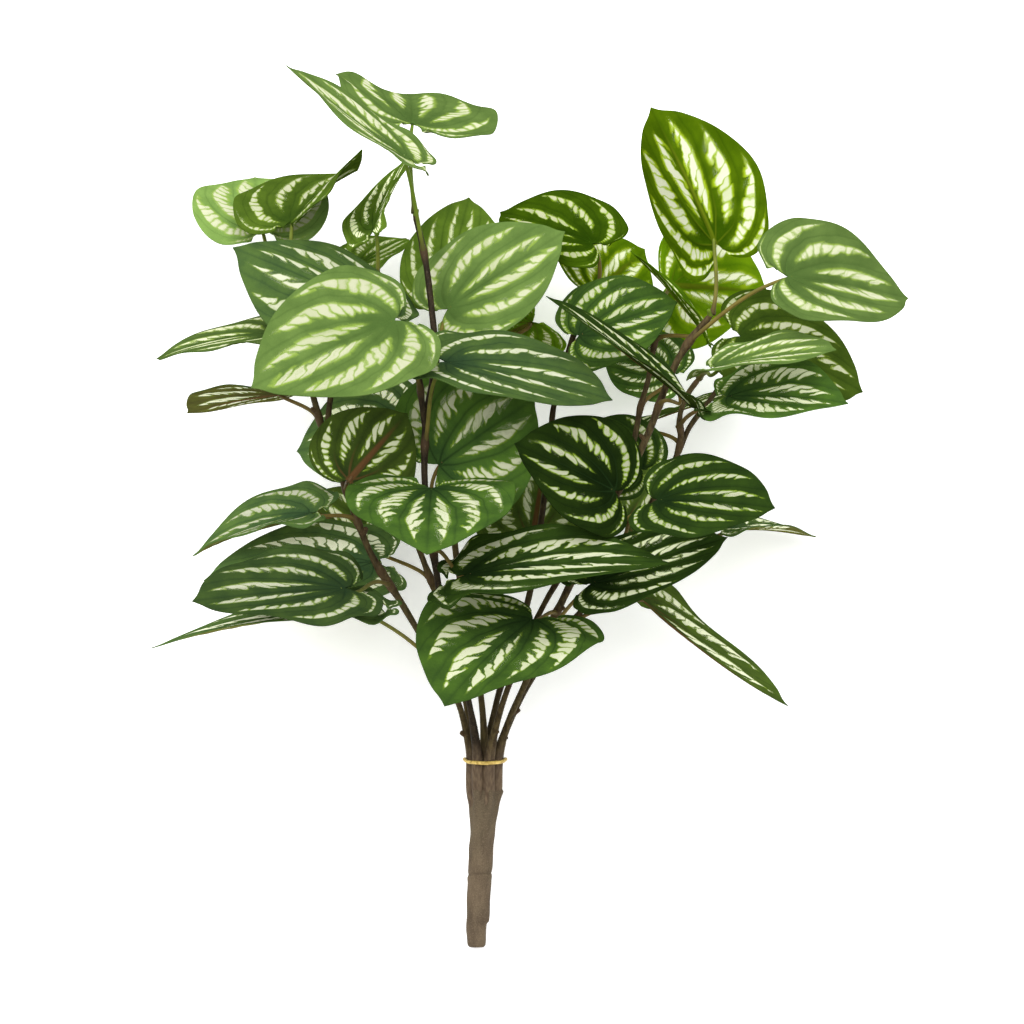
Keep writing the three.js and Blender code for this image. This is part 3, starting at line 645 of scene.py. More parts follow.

# Each leaf: name, stem, share of the stem's length, joint, tip, the way the upper face looks,
# width, bend and fold in degrees, tone, how light its green is (its own tone together with painted
# light and shade for how brightly it is lit), petiole (0 green, 0.5 olive, 1 brown), and where the
# cream isn't as usual, how bright it is (painted light and shade too), how broad and how soft its
# bands are.
leafRows = [
    ("top_right", "stem_middle", 1.0, (-29, 371, -7), (-32, 389, -66), (0.27, 0.92, 0.3),
     76, 14, 12, "light", 0.8, 0, (0.65, 0.72)),
    ("top_left", "stem_middle", 0.93, (-31, 353, 32), (-85, 393, 37), (0.6, 0.75, 0.24),
     58, -8, 10, "light", 0.85, 0.1, (0.69, 1.05)),
    ("upper_folded", "stem_shade", 1.0, (-47, 324, -14), (-34, 357, -66), (-0.72, 0.3, 0.6),
     34, 10, 20, "olive", 1.95, 0.2, (1.78, 1.0)),
    ("small_back", "stem_shade", 0.88, (-54, 309, -34), (-33, 323, -60), (0, 0.93, 0.37),
     28, 10, 12, "olive", 1.9, 0.4),
    ("behind_stem", "stem_heart", 1.0, (-14, 296, -24), (-4, 340, -52), (-0.1, 0.35, 0.93),
     46, 15, 6, "olive", 1.5, 0.5, (0.94, 0.6)),
    ("upper_centre", "stem_middle", 0.73, (-13, 287, 3), (40, 321, 8), (-0.15, 0.35, 0.92),
     52, 12, 6, "light", 0.9, 0.4, (0.62, 0.84)),
    ("upper_left", "middle_fork", 0.35, (-36, 280, 54), (-98, 251, 76), (-0.1, 0.45, 0.88),
     66, 14, 6, "light", 0.85, 0.35, (0.55, 1.0)),
    ("left_behind", "left_fork", 1.0, (-41, 283, 15), (-109, 314, 18), (-0.1, 0.7, 0.7),
     68, 12, -18, "grey", 1.7, 0.5, (0.77, 0.95, 0.4)),
    ("left_side_upper", "stem_left", 0.86, (-93, 275, 14), (-145, 264, -14), (0.05, 0.92, 0.36),
     50, 20, 8, "light", 0.6, 0.5, (0.83, 0.8)),
    ("left_side_lower", "stem_left", 0.78, (-88, 249, -12), (-133, 241, -42), (0, 1, -0.1),
     50, 10, 8, "grey", 1.4, 0.7, (1.23, 1.0)),
    ("far_left", "stem_left", 1.0, (-98, 325, -34), (-104, 352, -84), (0, 0.88, 0.47),
     62, 15, 8, "light", 1.55, 0.3, (0.69, 1.0)),
    ("left_crown", "stem_left", 0.9, (-84, 327, -8), (-56, 354, -60), (-0.45, 0.8, 0.4),
     58, 15, 26, "olive", 0.95, 0.3, (0.62, 0.8)),
    ("left_mid_back", "stem_shade", 0.74, (-35, 235, -12), (-82, 223, -40), (0, 0.35, 0.93),
     50, 15, 8, "grey", 3.0, 0.8, (2.12, 1.0)),
    ("left_mid_under", "stem_left", 0.63, (-57, 210, 20), (-31, 240, 13), (0.05, 0.3, -0.95),
     50, 10, 8, "green", 1.25, 0.8, (0.96, 0.95)),
    ("left_long", "stem_left", 0.57, (-75, 195, 14), (-130, 178, -14), (-0.42, 0.85, 0.31),
     44, 15, 16, "grey", 1.95, 0.7, (0.62, 0.8, 0.5)),
    ("left_low_back", "stem_left", 0.46, (-47, 173, -6), (-123, 164, 0), (0, 0.6, 0.8),
     46, 15, 8, "grey", 3.0, 0.25, (1.6, 1.1)),
    ("left_low", "stem_left", 0.43, (-58, 162, 50), (-124, 156, 72), (0.1, 0.86, 0.5),
     62, 8, 8, "grey", 0.95, 0.3, (0.57, 0.66, 0.4)),
    ("left_lowest", "stem_left", 0.23, (-51, 153, 40), (-145, 137, 34), (0.1, 0.95, 0.25),
     46, 14, 8, "grey", 1.95, 0.35, (1.2, 1.1)),
    ("centre_dark", "stem_middle", 0.47, (-17, 217, 8), (26, 247, 6), (-0.1, 0.25, 0.96),
     72, 12, 6, "green", 2.55, 0.7, (0.89, 1.0)),
    ("front_heart", "stem_middle", 0.5, (-20, 206, 36), (-21, 177, 97), (0, 0.84, 0.55),
     74, 14, 8, "green", 1.75, 0.25, (0.77, 1.15, 0.3)),
    ("centre_long", "stem_middle", 0.6, (-13, 262, 38), (60, 244, 47), (0.12, 0.85, 0.5),
     60, 14, 10, "grey", 1.45, 0.3, (0.72, 0.56, 0.5)),
    ("pale_back", "stem_heart", 0.85, (25, 282, -26), (-9, 266, -66), (0.1, 0.5, -0.85),
     44, 10, 8, "fresh", 2.8, 0.6),
    ("crown_right", "stem_back", 1.0, (52, 317, -10), (10, 334, -44), (0.1, 0.6, 0.75),
     46, 15, 10, "fresh", 0.65, 0.5, (0.56, 0.68)),
    ("yellow_back", "stem_back", 0.93, (54, 296, -34), (78, 318, -66), (-0.55, -0.4, -0.65),
     52, 10, 8, "yellow", 1.15, 0.6, (1.01, 1.05)),
    ("right_centre", "stem_back", 0.82, (46, 275, 4), (90, 290, 8), (-0.1, 0.5, 0.86),
     46, 12, 8, "green", 1.35, 0.6, (0.63, 1.0)),
    ("edge_upper", "stem_inner", 0.93, (101, 277, 2), (70, 314, 2), (0.78, 0.63, 0.08),
     32, 10, 10, "fresh", 1.25, 0.5),
    ("edge_long", "stem_right", 0.8, (91, 246, 48), (30, 290, 48), (0.58, 0.8, 0.12),
     40, 8, 14, "green", 0.7, 0.6, (0.74, 0.8)),
    ("yellow_right", "stem_inner", 1.0, (88, 299, -26), (134, 297, -58), (-0.55, 0.25, -0.8),
     60, 12, 8, "yellow", 1.65, 0.3, (1.01, 0.95)),
    ("top_heart", "stem_right", 1.0, (107, 316, 13), (78, 377, 13), (0.6, 0.25, -0.75),
     64, 10, 14, "yellow", 0.75, 0.3, (0.67, 1.02)),
    ("right_crown", "stem_right", 0.93, (138, 300, 38), (194, 292, 8), (0.48, 0.57, 0.67),
     60, 14, 14, "light", 0.75, 0.45, (0.65, 0.76)),
    ("right_behind", "outer_fork", 1.0, (119, 275, -6), (175, 250, -22), (0.1, 0.45, 0.89),
     52, 24, 8, "olive", 0.85, 0.7, (0.78, 0.75)),
    ("right_light", "stem_outer", 1.0, (107, 260, 42), (158, 265, 66), (0.05, 0.93, 0.35),
     52, 12, 12, "light", 0.9, 0.2, (0.8, 0.8)),
    ("right_dark", "stem_outer", 0.88, (112, 247, 26), (164, 245, 46), (0, 0.82, 0.57),
     50, 12, 10, "green", 2.45, 0.8, (1.24, 1.25)),
    ("right_inner", "stem_inner", 0.8, (88, 258, -14), (58, 268, -32), (0, 0.4, 0.9),
     36, 10, 8, "green", 3.0, 0.7, (1.88, 1.0)),
    ("right_under", "stem_outer", 0.84, (76, 236, -26), (118, 248, -77), (0, 0.93, -0.35),
     46, 10, 10, "green", 1.5, 0.7),
    ("centre_right", "stem_right", 0.56, (61, 205, 42), (17, 226, 56), (0.4, 0.3, 0.82),
     54, 12, 14, "green", 0.35, 0.4, (0.51, 0.8)),
    ("right_shade", "stem_inner", 0.66, (74, 215, -4), (45, 234, -16), (-0.2, 0.35, 0.9),
     38, 10, 8, "green", 1.1, 0.8),
    ("back_fan", "stem_back", 0.5, (25, 183, -26), (31, 222, -60), (0.1, 0.5, -0.86),
     54, 10, 8, "green", 2.35, 0.7),
    ("right_mid", "stem_right", 0.5, (80, 201, 52), (131, 197, 66), (0.1, 0.75, 0.65),
     58, 14, 8, "green", 0.7, 0.4, (0.57, 0.68)),
    ("right_low_back", "stem_outer", 0.6, (113, 188, -14), (155, 184, -52), (0, 0.97, 0.2),
     42, 14, 12, "grey", 1.8, 0.7, (1.5, 1.3)),
    ("low_long", "stem_middle", 0.42, (-4, 168, 48), (84, 176, 72), (-0.22, 0.83, 0.52),
     50, 12, 8, "green", 0.85, 0.6, (0.76, 1.0)),
    ("low_right", "stem_right", 0.3, (51, 164, 33), (112, 184, 20), (-0.1, 0.5, 0.85),
     36, 14, 8, "green", 0.9, 0.6, (1.38, 1.0)),
    ("low_hanging", "stem_outer", 0.4, (74, 157, -12), (139, 106, -12), (0.5, 0.75, -0.3),
     38, -10, 26, "green", 1.7, 0.8, (1.17, 1.0)),
    ("lowest_front", "stem_right", 0.36, (25, 148, 34), (-14, 113, 78), (-0.12, 0.8, 0.58),
     82, 18, 8, "green", 1.45, 0.7, (0.78, 1.25, 0.2)),
    ("back_left_low", "stem_shade", 0.42, (-46, 178, -34), (-82, 201, -52), (0, 0.3, -0.95),
     44, 10, 8, "green", 1.5, 0.6),
    ("back_left_upper", "stem_shade", 0.84, (-42, 256, -40), (-71, 278, -87), (-0.75, 0.2, -0.4),
     42, 10, 10, "fresh", 1.0, 0.5),
    ("back_centre", "stem_heart", 0.62, (1, 224, -32), (12, 258, -68), (0.1, 0.5, -0.86),
     52, 10, 10, "fresh", 1.0, 0.6),
    ("back_right_low", "stem_outer", 0.56, (68, 190, -28), (98, 212, -48), (0.1, 0.3, -0.95),
     42, 10, 8, "green", 3.0, 0.7),
]

blade = {
    # right half of the outline for a leaf of length 1, from the notch round the lobe to the tip
    "half": [(0.09, -0.13), (0.26, -0.18), (0.42, -0.07), (0.49, 0.15), (0.476, 0.42),
             (0.365, 0.668), (0.178, 0.873), (0.052, 0.955), (0, 1)],
    "halfWidth": 0.49, "sectors": 120, "rings": 25, "ringPower": 0.9,
    "startSheet": 0.02, "probe": 0.002,  # in shares of the leaf's length
    "waves": 4, "waveHeight": 0.022, "fineWaves": 9, "fineWave": 0.013,  # of the margin
    "foldRound": 0.04, "lobeDrop": 0.35,
    "thickness": 0.72, "edgeThickness": 0.42,
    "veinDepth": 0.34, "veinWidth": 0.9, "quilt": 0.3,
    "phaseStep": 1.7, "seedStep": 0.618, "bandStep": 0.414,  # from one leaf to the next
}
petiole = {
    "radius": 0.82, "footRadius": 0.98, "topLess": 0.15, "flare": 0.7, "flareLength": 2.6,
    "overlap": 2,  # how far it runs on under the blade
    "upright": 0.6, "leave": 0.4, "arrive": 0.35,  # how it bows between stem and blade
    "sides": 12, "steps": 36,
}


def halfOutline(count):
    held = np.array([(0.02, -0.02), *blade["half"], (-0.05, 1.05)])
    return curve(held, count, 40, 0)


outlineFine = halfOutline(240)[::-1]
outlineAngles = np.arctan2(outlineFine[:, 0], outlineFine[:, 1])
outlineReach = np.hypot(outlineFine[:, 0], outlineFine[:, 1])


def flatBlade():
    # Heart outline from a circle, opened at the notch and drawn in to the joint ring by ring.
    half = halfOutline(blade["sectors"] // 2 + 1)
    outline = np.vstack([half, (half[:-1] * (-1, 1))[::-1]])
    count = len(outline)
    bpy.ops.mesh.primitive_circle_add(vertices=count, radius=1)
    flat = bpy.context.object
    flat.name = "flat blade"
    for point, (across, along) in zip(flat.data.vertices, outline):
        point.co = (across, along, 0)
    markEdges(flat, lambda first, second: {first, second} == {0, count - 1})
    bpy.ops.mesh.delete(type="EDGE")
    bpy.ops.mesh.select_all(action="SELECT")
    reaches = np.linspace(1, 0, blade["rings"] + 1)[:-1] ** blade["ringPower"]
    for before, after in zip(reaches[:-1], reaches[1:]):
        bpy.ops.mesh.extrude_edges_move()
        size = float(after / before)
        bpy.ops.transform.resize(value=(size, size, size), center_override=(0, 0, 0))
    bpy.ops.mesh.extrude_edges_move()
    bpy.ops.transform.resize(value=(0.0001, 0.0001, 0.0001), center_override=(0, 0, 0))
    bpy.ops.mesh.select_all(action="SELECT")
    bpy.ops.mesh.remove_doubles(threshold=0.0001)
    bpy.ops.mesh.normals_make_consistent(inside=False)
    mode("OBJECT")
    if flat.data.polygons[0].normal.z < 0:
        flat.data.flip_normals()
    sheet = flat.modifiers.new("thickness", "SOLIDIFY")
    sheet.thickness = blade["startSheet"]
    sheet.offset = 0
    bpy.ops.object.modifier_apply(modifier=sheet.name)
    for face in flat.data.polygons:
        face.material_index = 1 if face.normal.z < -0.5 else 0
    soften()
    return flat


def bladeReach(across, along):
    edge = np.interp(np.abs(np.arctan2(across, along)), outlineAngles, outlineReach)
    return np.minimum(np.hypot(across, along) / edge, 1)


def veinPlace(across, along, reach, bands):
    # Which vein a point lies by: 0 on the midrib, a whole number on each side vein.
    out = np.hypot(across, along)
    notch = math.radians(leafPattern["notchAngle"])
    closing = 1 - leafPattern["closing"] * reach ** leafPattern["closingPower"]
    turned = np.arctan2(across, along) / (notch * closing)
    fan = np.sign(turned) * bands * np.log(1 + np.abs(turned) / leafPattern["crowd"])
    spacing = out * notch * closing * (np.abs(turned) + leafPattern["crowd"]) / bands
    ahead = along - leafPattern["tipPole"]
    crossing = np.log((out + 0.01) / np.hypot(across, ahead))
    near, far = (out + 0.01) ** 2, across ** 2 + ahead ** 2
    pitch = 1 / np.hypot(across / near - across / far, along / near - ahead / far)
    return fan, spacing, crossing, pitch


def bladeHeight(across, along, reach, leaf):
    arch = math.radians(leaf["bend"]) / 2 * along * (1 - along)
    trough = np.hypot(across, blade["foldRound"]) - blade["foldRound"]
    trough = trough * math.tan(math.radians(leaf["fold"]))
    around = np.arctan2(across, along + 0.12)
    wave = blade["waveHeight"] * reach ** 2 * np.sin(blade["waves"] * around + leaf["phase"])
    ruffle = reach ** 4 * np.sin(blade["fineWaves"] * around + 2.3 * leaf["phase"])
    ruffle = leaf["ruffle"] * ruffle * (1 - smooth(1.8, 2.4, np.abs(around)))
    behind = np.maximum(0, 0.1 - along)
    return arch + trough + wave + ruffle - blade["lobeDrop"] * behind * np.abs(across)


def bladeSurface(across, along, leaf):
    reach = bladeReach(across, along)
    fan, spacing, _, _ = veinPlace(across, along, reach, leaf["bands"])
    share = np.abs(fan) - np.floor(np.abs(fan))
    fromVein = np.minimum(share, 1 - share) * spacing * leaf["length"]
    fade = smooth(0.04, 0.25, reach) * (1 - smooth(0.82, 1.0, reach))
    relief = fade * (blade["quilt"] * np.sin(math.pi * share)
                     - blade["veinDepth"] * np.exp(-(fromVein / blade["veinWidth"]) ** 2))
    wide = across * leaf["widen"]
    height = bladeHeight(wide, along, reach, leaf) * leaf["length"] + relief
    return (leaf["joint"] + np.outer(wide * leaf["length"], leaf["across"])
            + np.outer(along * leaf["length"], leaf["along"]) + np.outer(height, leaf["up"]))


def creamOf(shade, tone, given=None):
    # By default the cream's brightness follows the green's, so it carries the same painted light
    # and shade.
    creamToneAndLight, broad, *soft = given or (min(shade, 1.4) * 0.4 + 0.6, 1.0)
    return creamToneAndLight, broad, max(soft + [leafTones[tone]["soft"]])


def bendBlade(master, leaf, tone):
    piece = placed("blade", master.data.copy())
    flat = coordinates(piece.data)
    across, along = flat[:, 0], flat[:, 1]
    step = blade["probe"]
    middle = bladeSurface(across, along, leaf)
    sideways = bladeSurface(across + step, along, leaf) - bladeSurface(across - step, along, leaf)
    forward = bladeSurface(across, along + step, leaf) - bladeSurface(across, along - step, leaf)
    normal = unit(np.cross(sideways, forward))
    normal *= np.sign(normal @ leaf["up"])[:, None]
    reach = bladeReach(across, along)
    thick = blade["thickness"] + (blade["edgeThickness"] - blade["thickness"]) * reach ** 2
    shell = np.where(flat[:, 2] > 0, 0.5, -0.5) * thick
    piece.data.vertices.foreach_set("co", lay(middle + normal * shell[:, None]).ravel())
    fan, spacing, crossing, pitch = veinPlace(across, along, reach, leaf["bands"])
    length = leaf["length"]
    storeVectors(piece.data, "leafVein", np.stack([fan, reach, crossing], 1))
    storeVectors(piece.data, "leafFlat", np.stack([across, along, spacing], 1) * length)
    storeVectors(piece.data, "leafCream", np.tile(leaf["cream"], (len(flat), 1)))
    own = np.tile((leaf["seed"], leaf["shade"], length), (len(flat), 1))
    own[:, 2] *= pitch
    storeVectors(piece.data, "leafSelf", own)
    for material in leafMaterials[tone]:
        piece.data.materials.append(material)
    piece.data.update()
    return piece


def petioleLine(leaf, start, direction):
    end = leaf["joint"] + leaf["along"] * petiole["overlap"] + leaf["up"] * 0.1
    span = np.linalg.norm(leaf["joint"] - start)
    leave = unit(unit(end - start) + direction * petiole["upright"])
    arrive = leaf["along"] * -0.8 - leaf["up"] * 0.6
    first = start + leave * span * petiole["leave"]
    second = end + arrive * span * petiole["arrive"]
    part = np.linspace(0, 1, 200)[:, None]
    line = (start * (1 - part) ** 3 + first * 3 * part * (1 - part) ** 2
            + second * 3 * part ** 2 * (1 - part) + end * part ** 3)
    return evenly(line, petiole["steps"] + 1)


def bladeFrame(joint, tip, facing):
    joint, tip = np.array(joint, float), np.array(tip, float)
    along = unit(tip - joint)
    across = unit(np.cross(along, unit(facing)))
    return {"joint": joint, "along": along, "across": across, "up": unit(np.cross(across, along)),
            "length": float(np.linalg.norm(tip - joint))}


stemLines = {name: curveThrough(line) for name, line in stems["lines"].items()}
stemLines.update((name, curveThrough(line)) for name, (_, line) in stems["forks"].items())

bladeMaster = flatBlade()
petioleMaster = straightRod("straight petiole", petiole["sides"], petiole["steps"])
stemMaster = straightRod("straight stem", stems["sides"], stems["steps"])
print("masters", len(bladeMaster.data.polygons))

knots = {name: [] for name in stemLines}
for row, spec in enumerate(leafRows):
    name, stem, share, joint, tip, facing, width, bend, fold, tone, shade, stalkTone = spec[:12]
    leaf = bladeFrame(joint, tip, facing)
    leaf["widen"] = width * trimBy.get(name, 1) / (2 * blade["halfWidth"] * leaf["length"])
    leaf["bend"], leaf["fold"], leaf["phase"] = bend, fold, blade["phaseStep"] * row
    leaf["seed"], leaf["shade"] = (row * blade["seedStep"]) % 1, shade
    leaf["cream"] = creamOf(shade, tone, *spec[12:])
    leaf["ruffle"] = blade["fineWave"] * ruffleBy.get(name, 1)
    fewest, most = leafPattern["bands"]
    leaf["bands"] = fewest + (most - fewest) * ((row * blade["bandStep"]) % 1)
    line = stemLines[stem]
    at = share * (len(line) - 1)
    index = min(round(at), len(line) - 2)
    start = np.array([np.interp(at, range(len(line)), part) for part in line.T])
    direction = unit(line[index + 1] - line[index])
    knots[stem].append(share)
    whole = bendBlade(bladeMaster, leaf, tone)
    petiolePath = petioleLine(leaf, start, direction)
    part = np.linspace(0, 1, petiole["steps"] + 1)
    radii = petiole["footRadius"] + (petiole["radius"] - petiole["footRadius"]) * part
    reached = part * spans(petiolePath).sum()
    radii = radii + petiole["flare"] * np.exp(-(reached / petiole["flareLength"]) ** 2)
    radii = radii - petiole["topLess"] * smooth(0.9, 1.0, part)
    place = np.stack([part, np.full(len(part), stalkTone), part * 0], 1)
    stalk = bendRod(petioleMaster, "stalk", petiolePath, radii, "petiole", place)
    only(whole, [stalk])
    bpy.ops.object.join()
    settle(whole, "banded_leaf_" + name, "leaf_" + name)
print("leaves", len(leafRows))


stub = {
    "length": 70, "sides": 104, "steps": 140, "lips": 3.2,
    # level, middle across, radius
    "profile": [(0, -0.2, 3.2), (0.7, -0.2, 4.0), (2.2, -0.2, 4.25), (10.6, -0.1, 4.55),
                (11.6, 0.4, 5.0), (20, 0.7, 5.1), (32, 1.0, 5.25), (42, 2.0, 5.5),
                (50, 2.6, 5.6), (57, 3.0, 6.0), (64, 3.3, 7.0), (70, 3.5, 7.9), (73.2, 3.6, 7.6)],
    # The grooves and the crease are painted in shade; a groove as deep as grooveDark gets full
    # shade.
    "creaseLevel": 33, "crease": 0.07, "lipDraw": 2.6, "grooveDark": 1.4,
    # across, lowest level, depth, half width
    "grooves": [(1.0, 60, 1.4, 0.75), (-1.6, 64, 0.8, 0.6)],
    # height, waves round, turn along the length
    "lumps": [(0.035, 2, 5), (0.03, 1, -11), (0.022, 3, -23), (0.014, 5, 37)],
}


def stemPiece(name, line, thinner, sunk):
    fine = evenly(line, stems["steps"] + 1)
    if sunk:
        # The foot leans in to the middle of the stub, so that the stem grows out of it.
        levels, middles, _ = np.array(stub["profile"]).T
        foot = []
        for level, share in stems["foot"]:
            middle = np.array([np.interp(level, levels, middles), level, 0])
            aside = fine[0] - (np.interp(fine[0][1], levels, middles), fine[0][1], 0)
            foot.append(middle + aside * share)
        fine = curveThrough(np.vstack([foot, line[::20], line[-1:]]), stems["steps"] + 1)
    part = np.linspace(0, 1, stems["steps"] + 1)
    length = spans(fine).sum()
    radii = stems["radius"] - thinner + (stems["tipRadius"] - stems["radius"]) * part
    knot = np.zeros(len(part))
    for share in knots[name]:
        place = np.linalg.norm(fine - line[round(share * (len(line) - 1))], axis=1)
        knot = np.maximum(knot, np.exp(-(place / stems["knotLength"]) ** 2))
    short, long = stems["wobbleLengths"]
    wobble = np.sin(part * length / short + len(name))
    wobble = wobble * np.sin(part * length / long + 2 * len(name))
    thick, brown = stems["build"][name]
    slim = stems["slim"] + (thick - stems["slim"]) * smooth(*stems["buildLevels"], fine[:, 1])
    radii = radii * (1 + (slim - 1) * smooth(*stems["slimLevels"], fine[:, 1]))
    radii = radii + stems["knotExtra"] * knot + stems["wobble"] * wobble
    if sunk:
        far = smooth(stems["footTop"] - 4, stems["footTop"] + stems["footBlend"], fine[:, 1])
        radii = radii + stems["footExtra"] * (1 - far)
        thin, top = stems["footSink"]
        radii = radii * (thin + (1 - thin) * smooth(stems["foot"][0][0], top, fine[:, 1]))
    radii[-2:] *= stems["tipNarrow"]
    place = np.stack([np.full(len(part), brown), fine[:, 1] / stems["levelSpan"], knot], 1)
    return bendRod(stemMaster, name + "_rod", fine, radii, "stem", place)


spurs = {
    "length": 1.7, "radius": 1.7, "rootDepth": 2.4, "taper": 0.6, "round": 0.22,
    "budPlace": (0.6, 0.1, 0),  # a bud is as green as this place on a petiole
    # stem, level, the way it points, size
    "knobs": [
        ("stem_left", 95, (-1, 0.5, 0.3), 1.0), ("stem_outer", 105, (1, 0.6, 0.2), 0.9),
        ("stem_outer", 93, (0.9, 0.5, 0.5), 0.75), ("stem_inner", 96, (0.8, 0.6, 0.6), 0.7),
        ("stem_middle", 134, (-0.8, 0.6, 0.6), 0.7), ("stem_middle", 172, (0.9, 0.5, 0.4), 0.6),
        ("stem_heart", 152, (0.8, 0.7, 0.3), 0.7), ("stem_right", 152, (0.9, 0.3, 0.4), 0.8),
        ("stem_right", 228, (-0.8, 0.7, 0.4), 0.9), ("stem_left", 186, (0.6, 0.9, 0.5), 1.1),
        ("stem_left", 241, (-0.9, 0.5, 0.2), 0.9), ("stem_back", 214, (-0.7, 0.6, 0.5), 0.7),
        ("stem_shade", 205, (-0.7, 0.7, 0.3), 0.8), ("stem_inner", 214, (0.6, 0.7, 0.5), 0.7)],
    # stem, level, the way it points, size: young green buds at the tops
    "buds": [
        ("stem_middle", 329, (0.4, 1, 0.5), 0.8), ("stem_shade", 299, (0.5, 0.8, 0.6), 0.9),
        ("stem_right", 283, (-0.3, 1, 0.6), 0.8), ("stem_left", 287, (0.6, 0.9, 0.3), 0.7)],
}


def spurMaster():
    bpy.ops.mesh.primitive_cone_add(vertices=12, radius1=1, radius2=spurs["taper"], depth=1)
    spur = bpy.context.object
    chooseAll()
    bpy.ops.mesh.bevel(offset=spurs["round"], segments=3, affect="EDGES")
    mode("OBJECT")
    bpy.ops.object.shade_smooth()
    return spur


def spurPiece(master, stem, level, points, size, finish):
    piece = placed("spur", master.data.copy())
    line = stemLines[stem]
    place = line[np.argmin(np.abs(line[:, 1] - level))]
    out = unit(points)
    side = unit(np.cross(out, (0.3, 0.1, 1)))
    other = np.cross(out, side)
    flat = coordinates(piece.data)
    wide, long = spurs["radius"] * size, spurs["length"] * size
    long += spurs["rootDepth"] * stems["build"][stem][0]
    moved = (place + np.outer(flat[:, 0] * wide, side) + np.outer(flat[:, 1] * wide, other)
             + np.outer((flat[:, 2] + 0.5) * long, out))
    held = (stems["build"][stem][1], level / stems["levelSpan"], 1)
    held = held if finish == "stem" else spurs["budPlace"]
    dress(piece, moved, finish, np.tile(held, (len(flat), 1)))
    return piece


spurStart = spurMaster()
for name in stems["lines"]:
    whole = stemPiece(name, stemLines[name], 0, True)
    parts = [stemPiece(fork, stemLines[fork], stems["forkThinning"], False)
             for fork, (owner, _) in stems["forks"].items() if owner == name]
    for rows, finish in ((spurs["knobs"], "stem"), (spurs["buds"], "petiole")):
        parts += [spurPiece(spurStart, *spec, finish) for spec in rows if spec[0] == name]
    only(whole, parts)
    if parts:
        bpy.ops.object.join()
    settle(whole, "bark_" + name, name)
print("stems", len(stems["lines"]))


def stubPiece():
    master = straightRod("straight stub", stub["sides"], stub["steps"])
    points = coordinates(master.data)
    level = (points[:, 2] + 0.5) * (stub["length"] + stub["lips"])
    levels, middles, radii = np.array(stub["profile"]).T
    middle, radius = np.interp(level, levels, middles), np.interp(level, levels, radii)
    height = np.minimum(level / stub["length"], 1)
    lip = smooth(stub["length"] - 0.5, stub["length"] + stub["lips"], level)
    radius = radius - stub["lipDraw"] * lip ** 2
    around = np.arctan2(points[:, 1], points[:, 0])
    lumps = sum(rise * np.sin(waves * around + along * height)
                for rise, waves, along in stub["lumps"])
    lumps = lumps * smooth(1, 8, level)
    ring = level - stub["creaseLevel"] - 0.6 * np.sin(around + 1)
    crease = 0.03 * np.exp(-((ring + 1.6) / 1.2) ** 2)
    crease = crease - stub["crease"] * np.exp(-(ring / 0.55) ** 2)
    flutes = 0.11 * height ** 5 * np.cos(7 * around - 2.44)
    spread = radius * (1 + flutes + lumps + crease) * np.hypot(points[:, 0], points[:, 1])
    x, z = middle + spread * np.cos(around), spread * np.sin(around)
    # Painted shade: the grooves and the crease darken by how deep they are.
    dark = np.zeros(len(x))
    for across, lowest, depth, halfWidth in stub["grooves"]:
        near = np.exp(-((x - across - middle) / halfWidth) ** 2)
        near = np.where(z > 0, near * smooth(lowest, stub["length"], level), 0)
        z = z - depth * near
        dark = np.maximum(dark, near * depth / stub["grooveDark"])
    dark = np.maximum(dark, 0.45 * np.exp(-(ring / 0.4) ** 2))
    dress(master, np.stack([x, level, z], 1), "stub", np.outer(dark, (0, 0, 1)))
    only(master)
    chooseAll()
    bpy.ops.mesh.normals_make_consistent(inside=False)
    mode("OBJECT")
    return master


settle(stubPiece(), "moulded_stub", "stub")
print("stub")

tie = {
    "centre": (3.6, 84, 0), "radius": 9.3, "wire": 0.8, "turns": 128, "sides": 12,
    "frontDrop": 0.75, "sideLoop": 0.55, "unevenness": 0.1,
}


def tiePiece():
    bpy.ops.mesh.primitive_torus_add(major_segments=tie["turns"], minor_segments=tie["sides"],
                                     major_radius=tie["radius"], minor_radius=tie["wire"])
    ring = bpy.context.object
    points = coordinates(ring.data)
    around = np.arctan2(points[:, 1], points[:, 0])  # a quarter turn is at the back
    out = np.hypot(points[:, 0], points[:, 1])
    aside = np.abs(np.cos(around))
    front = smooth(0.0, 0.5, -np.sin(around))
    rise = points[:, 2] - tie["frontDrop"] * front * (1 - aside ** 6)
    rise = rise + tie["sideLoop"] * aside ** 8
    out = out + tie["unevenness"] * np.sin(3 * around + 0.6)
    x, y, z = tie["centre"]
    level = y + rise + tie["unevenness"] * np.sin(5 * around)
    dress(ring, np.stack([x + out * np.cos(around), level, z - out * np.sin(around)], 1), "tie")
    bpy.ops.object.shade_smooth()
    return ring


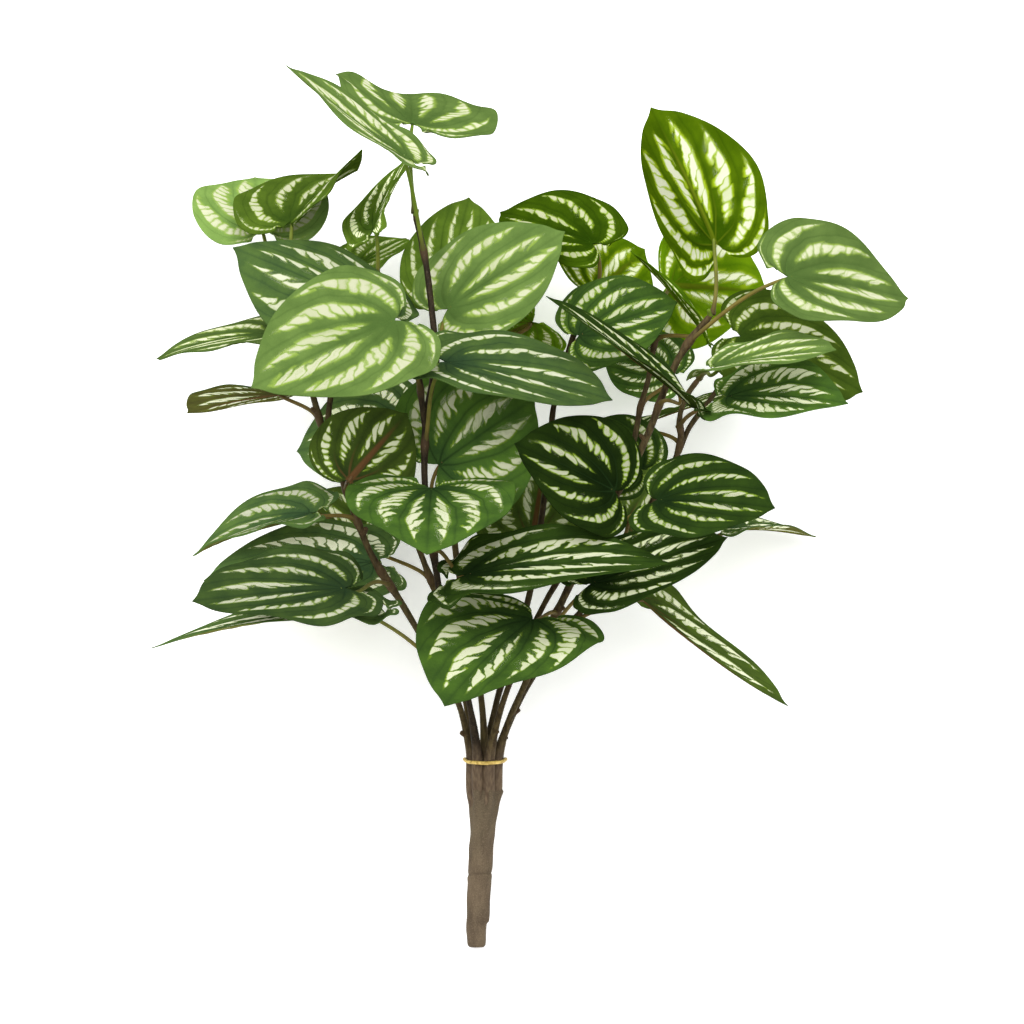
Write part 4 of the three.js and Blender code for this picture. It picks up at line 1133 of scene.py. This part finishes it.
settle(tiePiece(), "gold_tie", "tie")
print("tie")

for master in (bladeMaster, petioleMaster, stemMaster, spurStart):
    bpy.data.objects.remove(master)

studio = {
    "floorSize": 12, "floorColour": (0.95, 0.95, 0.945, 1), "floorGlow": 0.36,
    "floorRoughness": 0.85,
    "skyStrength": 0.8, "aim": (15, 230, 0),  # where both lamps point
    "key": {"place": (-450, 1400, 2000), "size": 2.8, "power": 92},
    "fill": {"place": (1300, 300, 1500), "size": 2.6, "power": 14},
}
view = {"place": (15.75, 195.75, 2400), "lens": 187.5, "clipEnd": 50}


def floorPiece():
    bpy.ops.mesh.primitive_plane_add(size=studio["floorSize"])
    floor = bpy.context.object
    floor.name = "studio_floor"
    material, _, shader = startMaterial("studio floor", studio["floorRoughness"], 0.2)
    shader.inputs["Base Color"].default_value = studio["floorColour"]
    shader.inputs["Emission Color"].default_value = (1, 1, 1, 1)
    shader.inputs["Emission Strength"].default_value = studio["floorGlow"]
    floor.data.materials.append(material)


def areaLight(name, spec):
    light = bpy.data.lights.new(name, "AREA")
    light.shape = "DISK"
    light.size = spec["size"]
    light.energy = spec["power"]
    lamp = placed(name, light)
    place, target = Vector(lay(spec["place"])), Vector(lay(studio["aim"]))
    lamp.location = place
    lamp.rotation_mode = "QUATERNION"
    lamp.rotation_quaternion = (target - place).to_track_quat("-Z", "Y")
    lamp.visible_camera = False


floorPiece()
areaLight("key light", studio["key"])
areaLight("fill light", studio["fill"])
world = bpy.data.worlds.new("studio")
bpy.context.scene.world = world
world.use_nodes = True
sky = world.node_tree.nodes["Background"].inputs
sky["Color"].default_value = (1, 1, 1, 1)
sky["Strength"].default_value = studio["skyStrength"]
bpy.context.scene.view_settings.view_transform = "Standard"

camera = placed("camera", bpy.data.cameras.new("camera"))
bpy.context.scene.camera = camera
camera.data.lens = view["lens"]
camera.data.clip_end = view["clipEnd"]
camera.rotation_mode = "QUATERNION"
camera.location = lay(view["place"])
camera.rotation_quaternion = turn.to_quaternion()
print("studio")
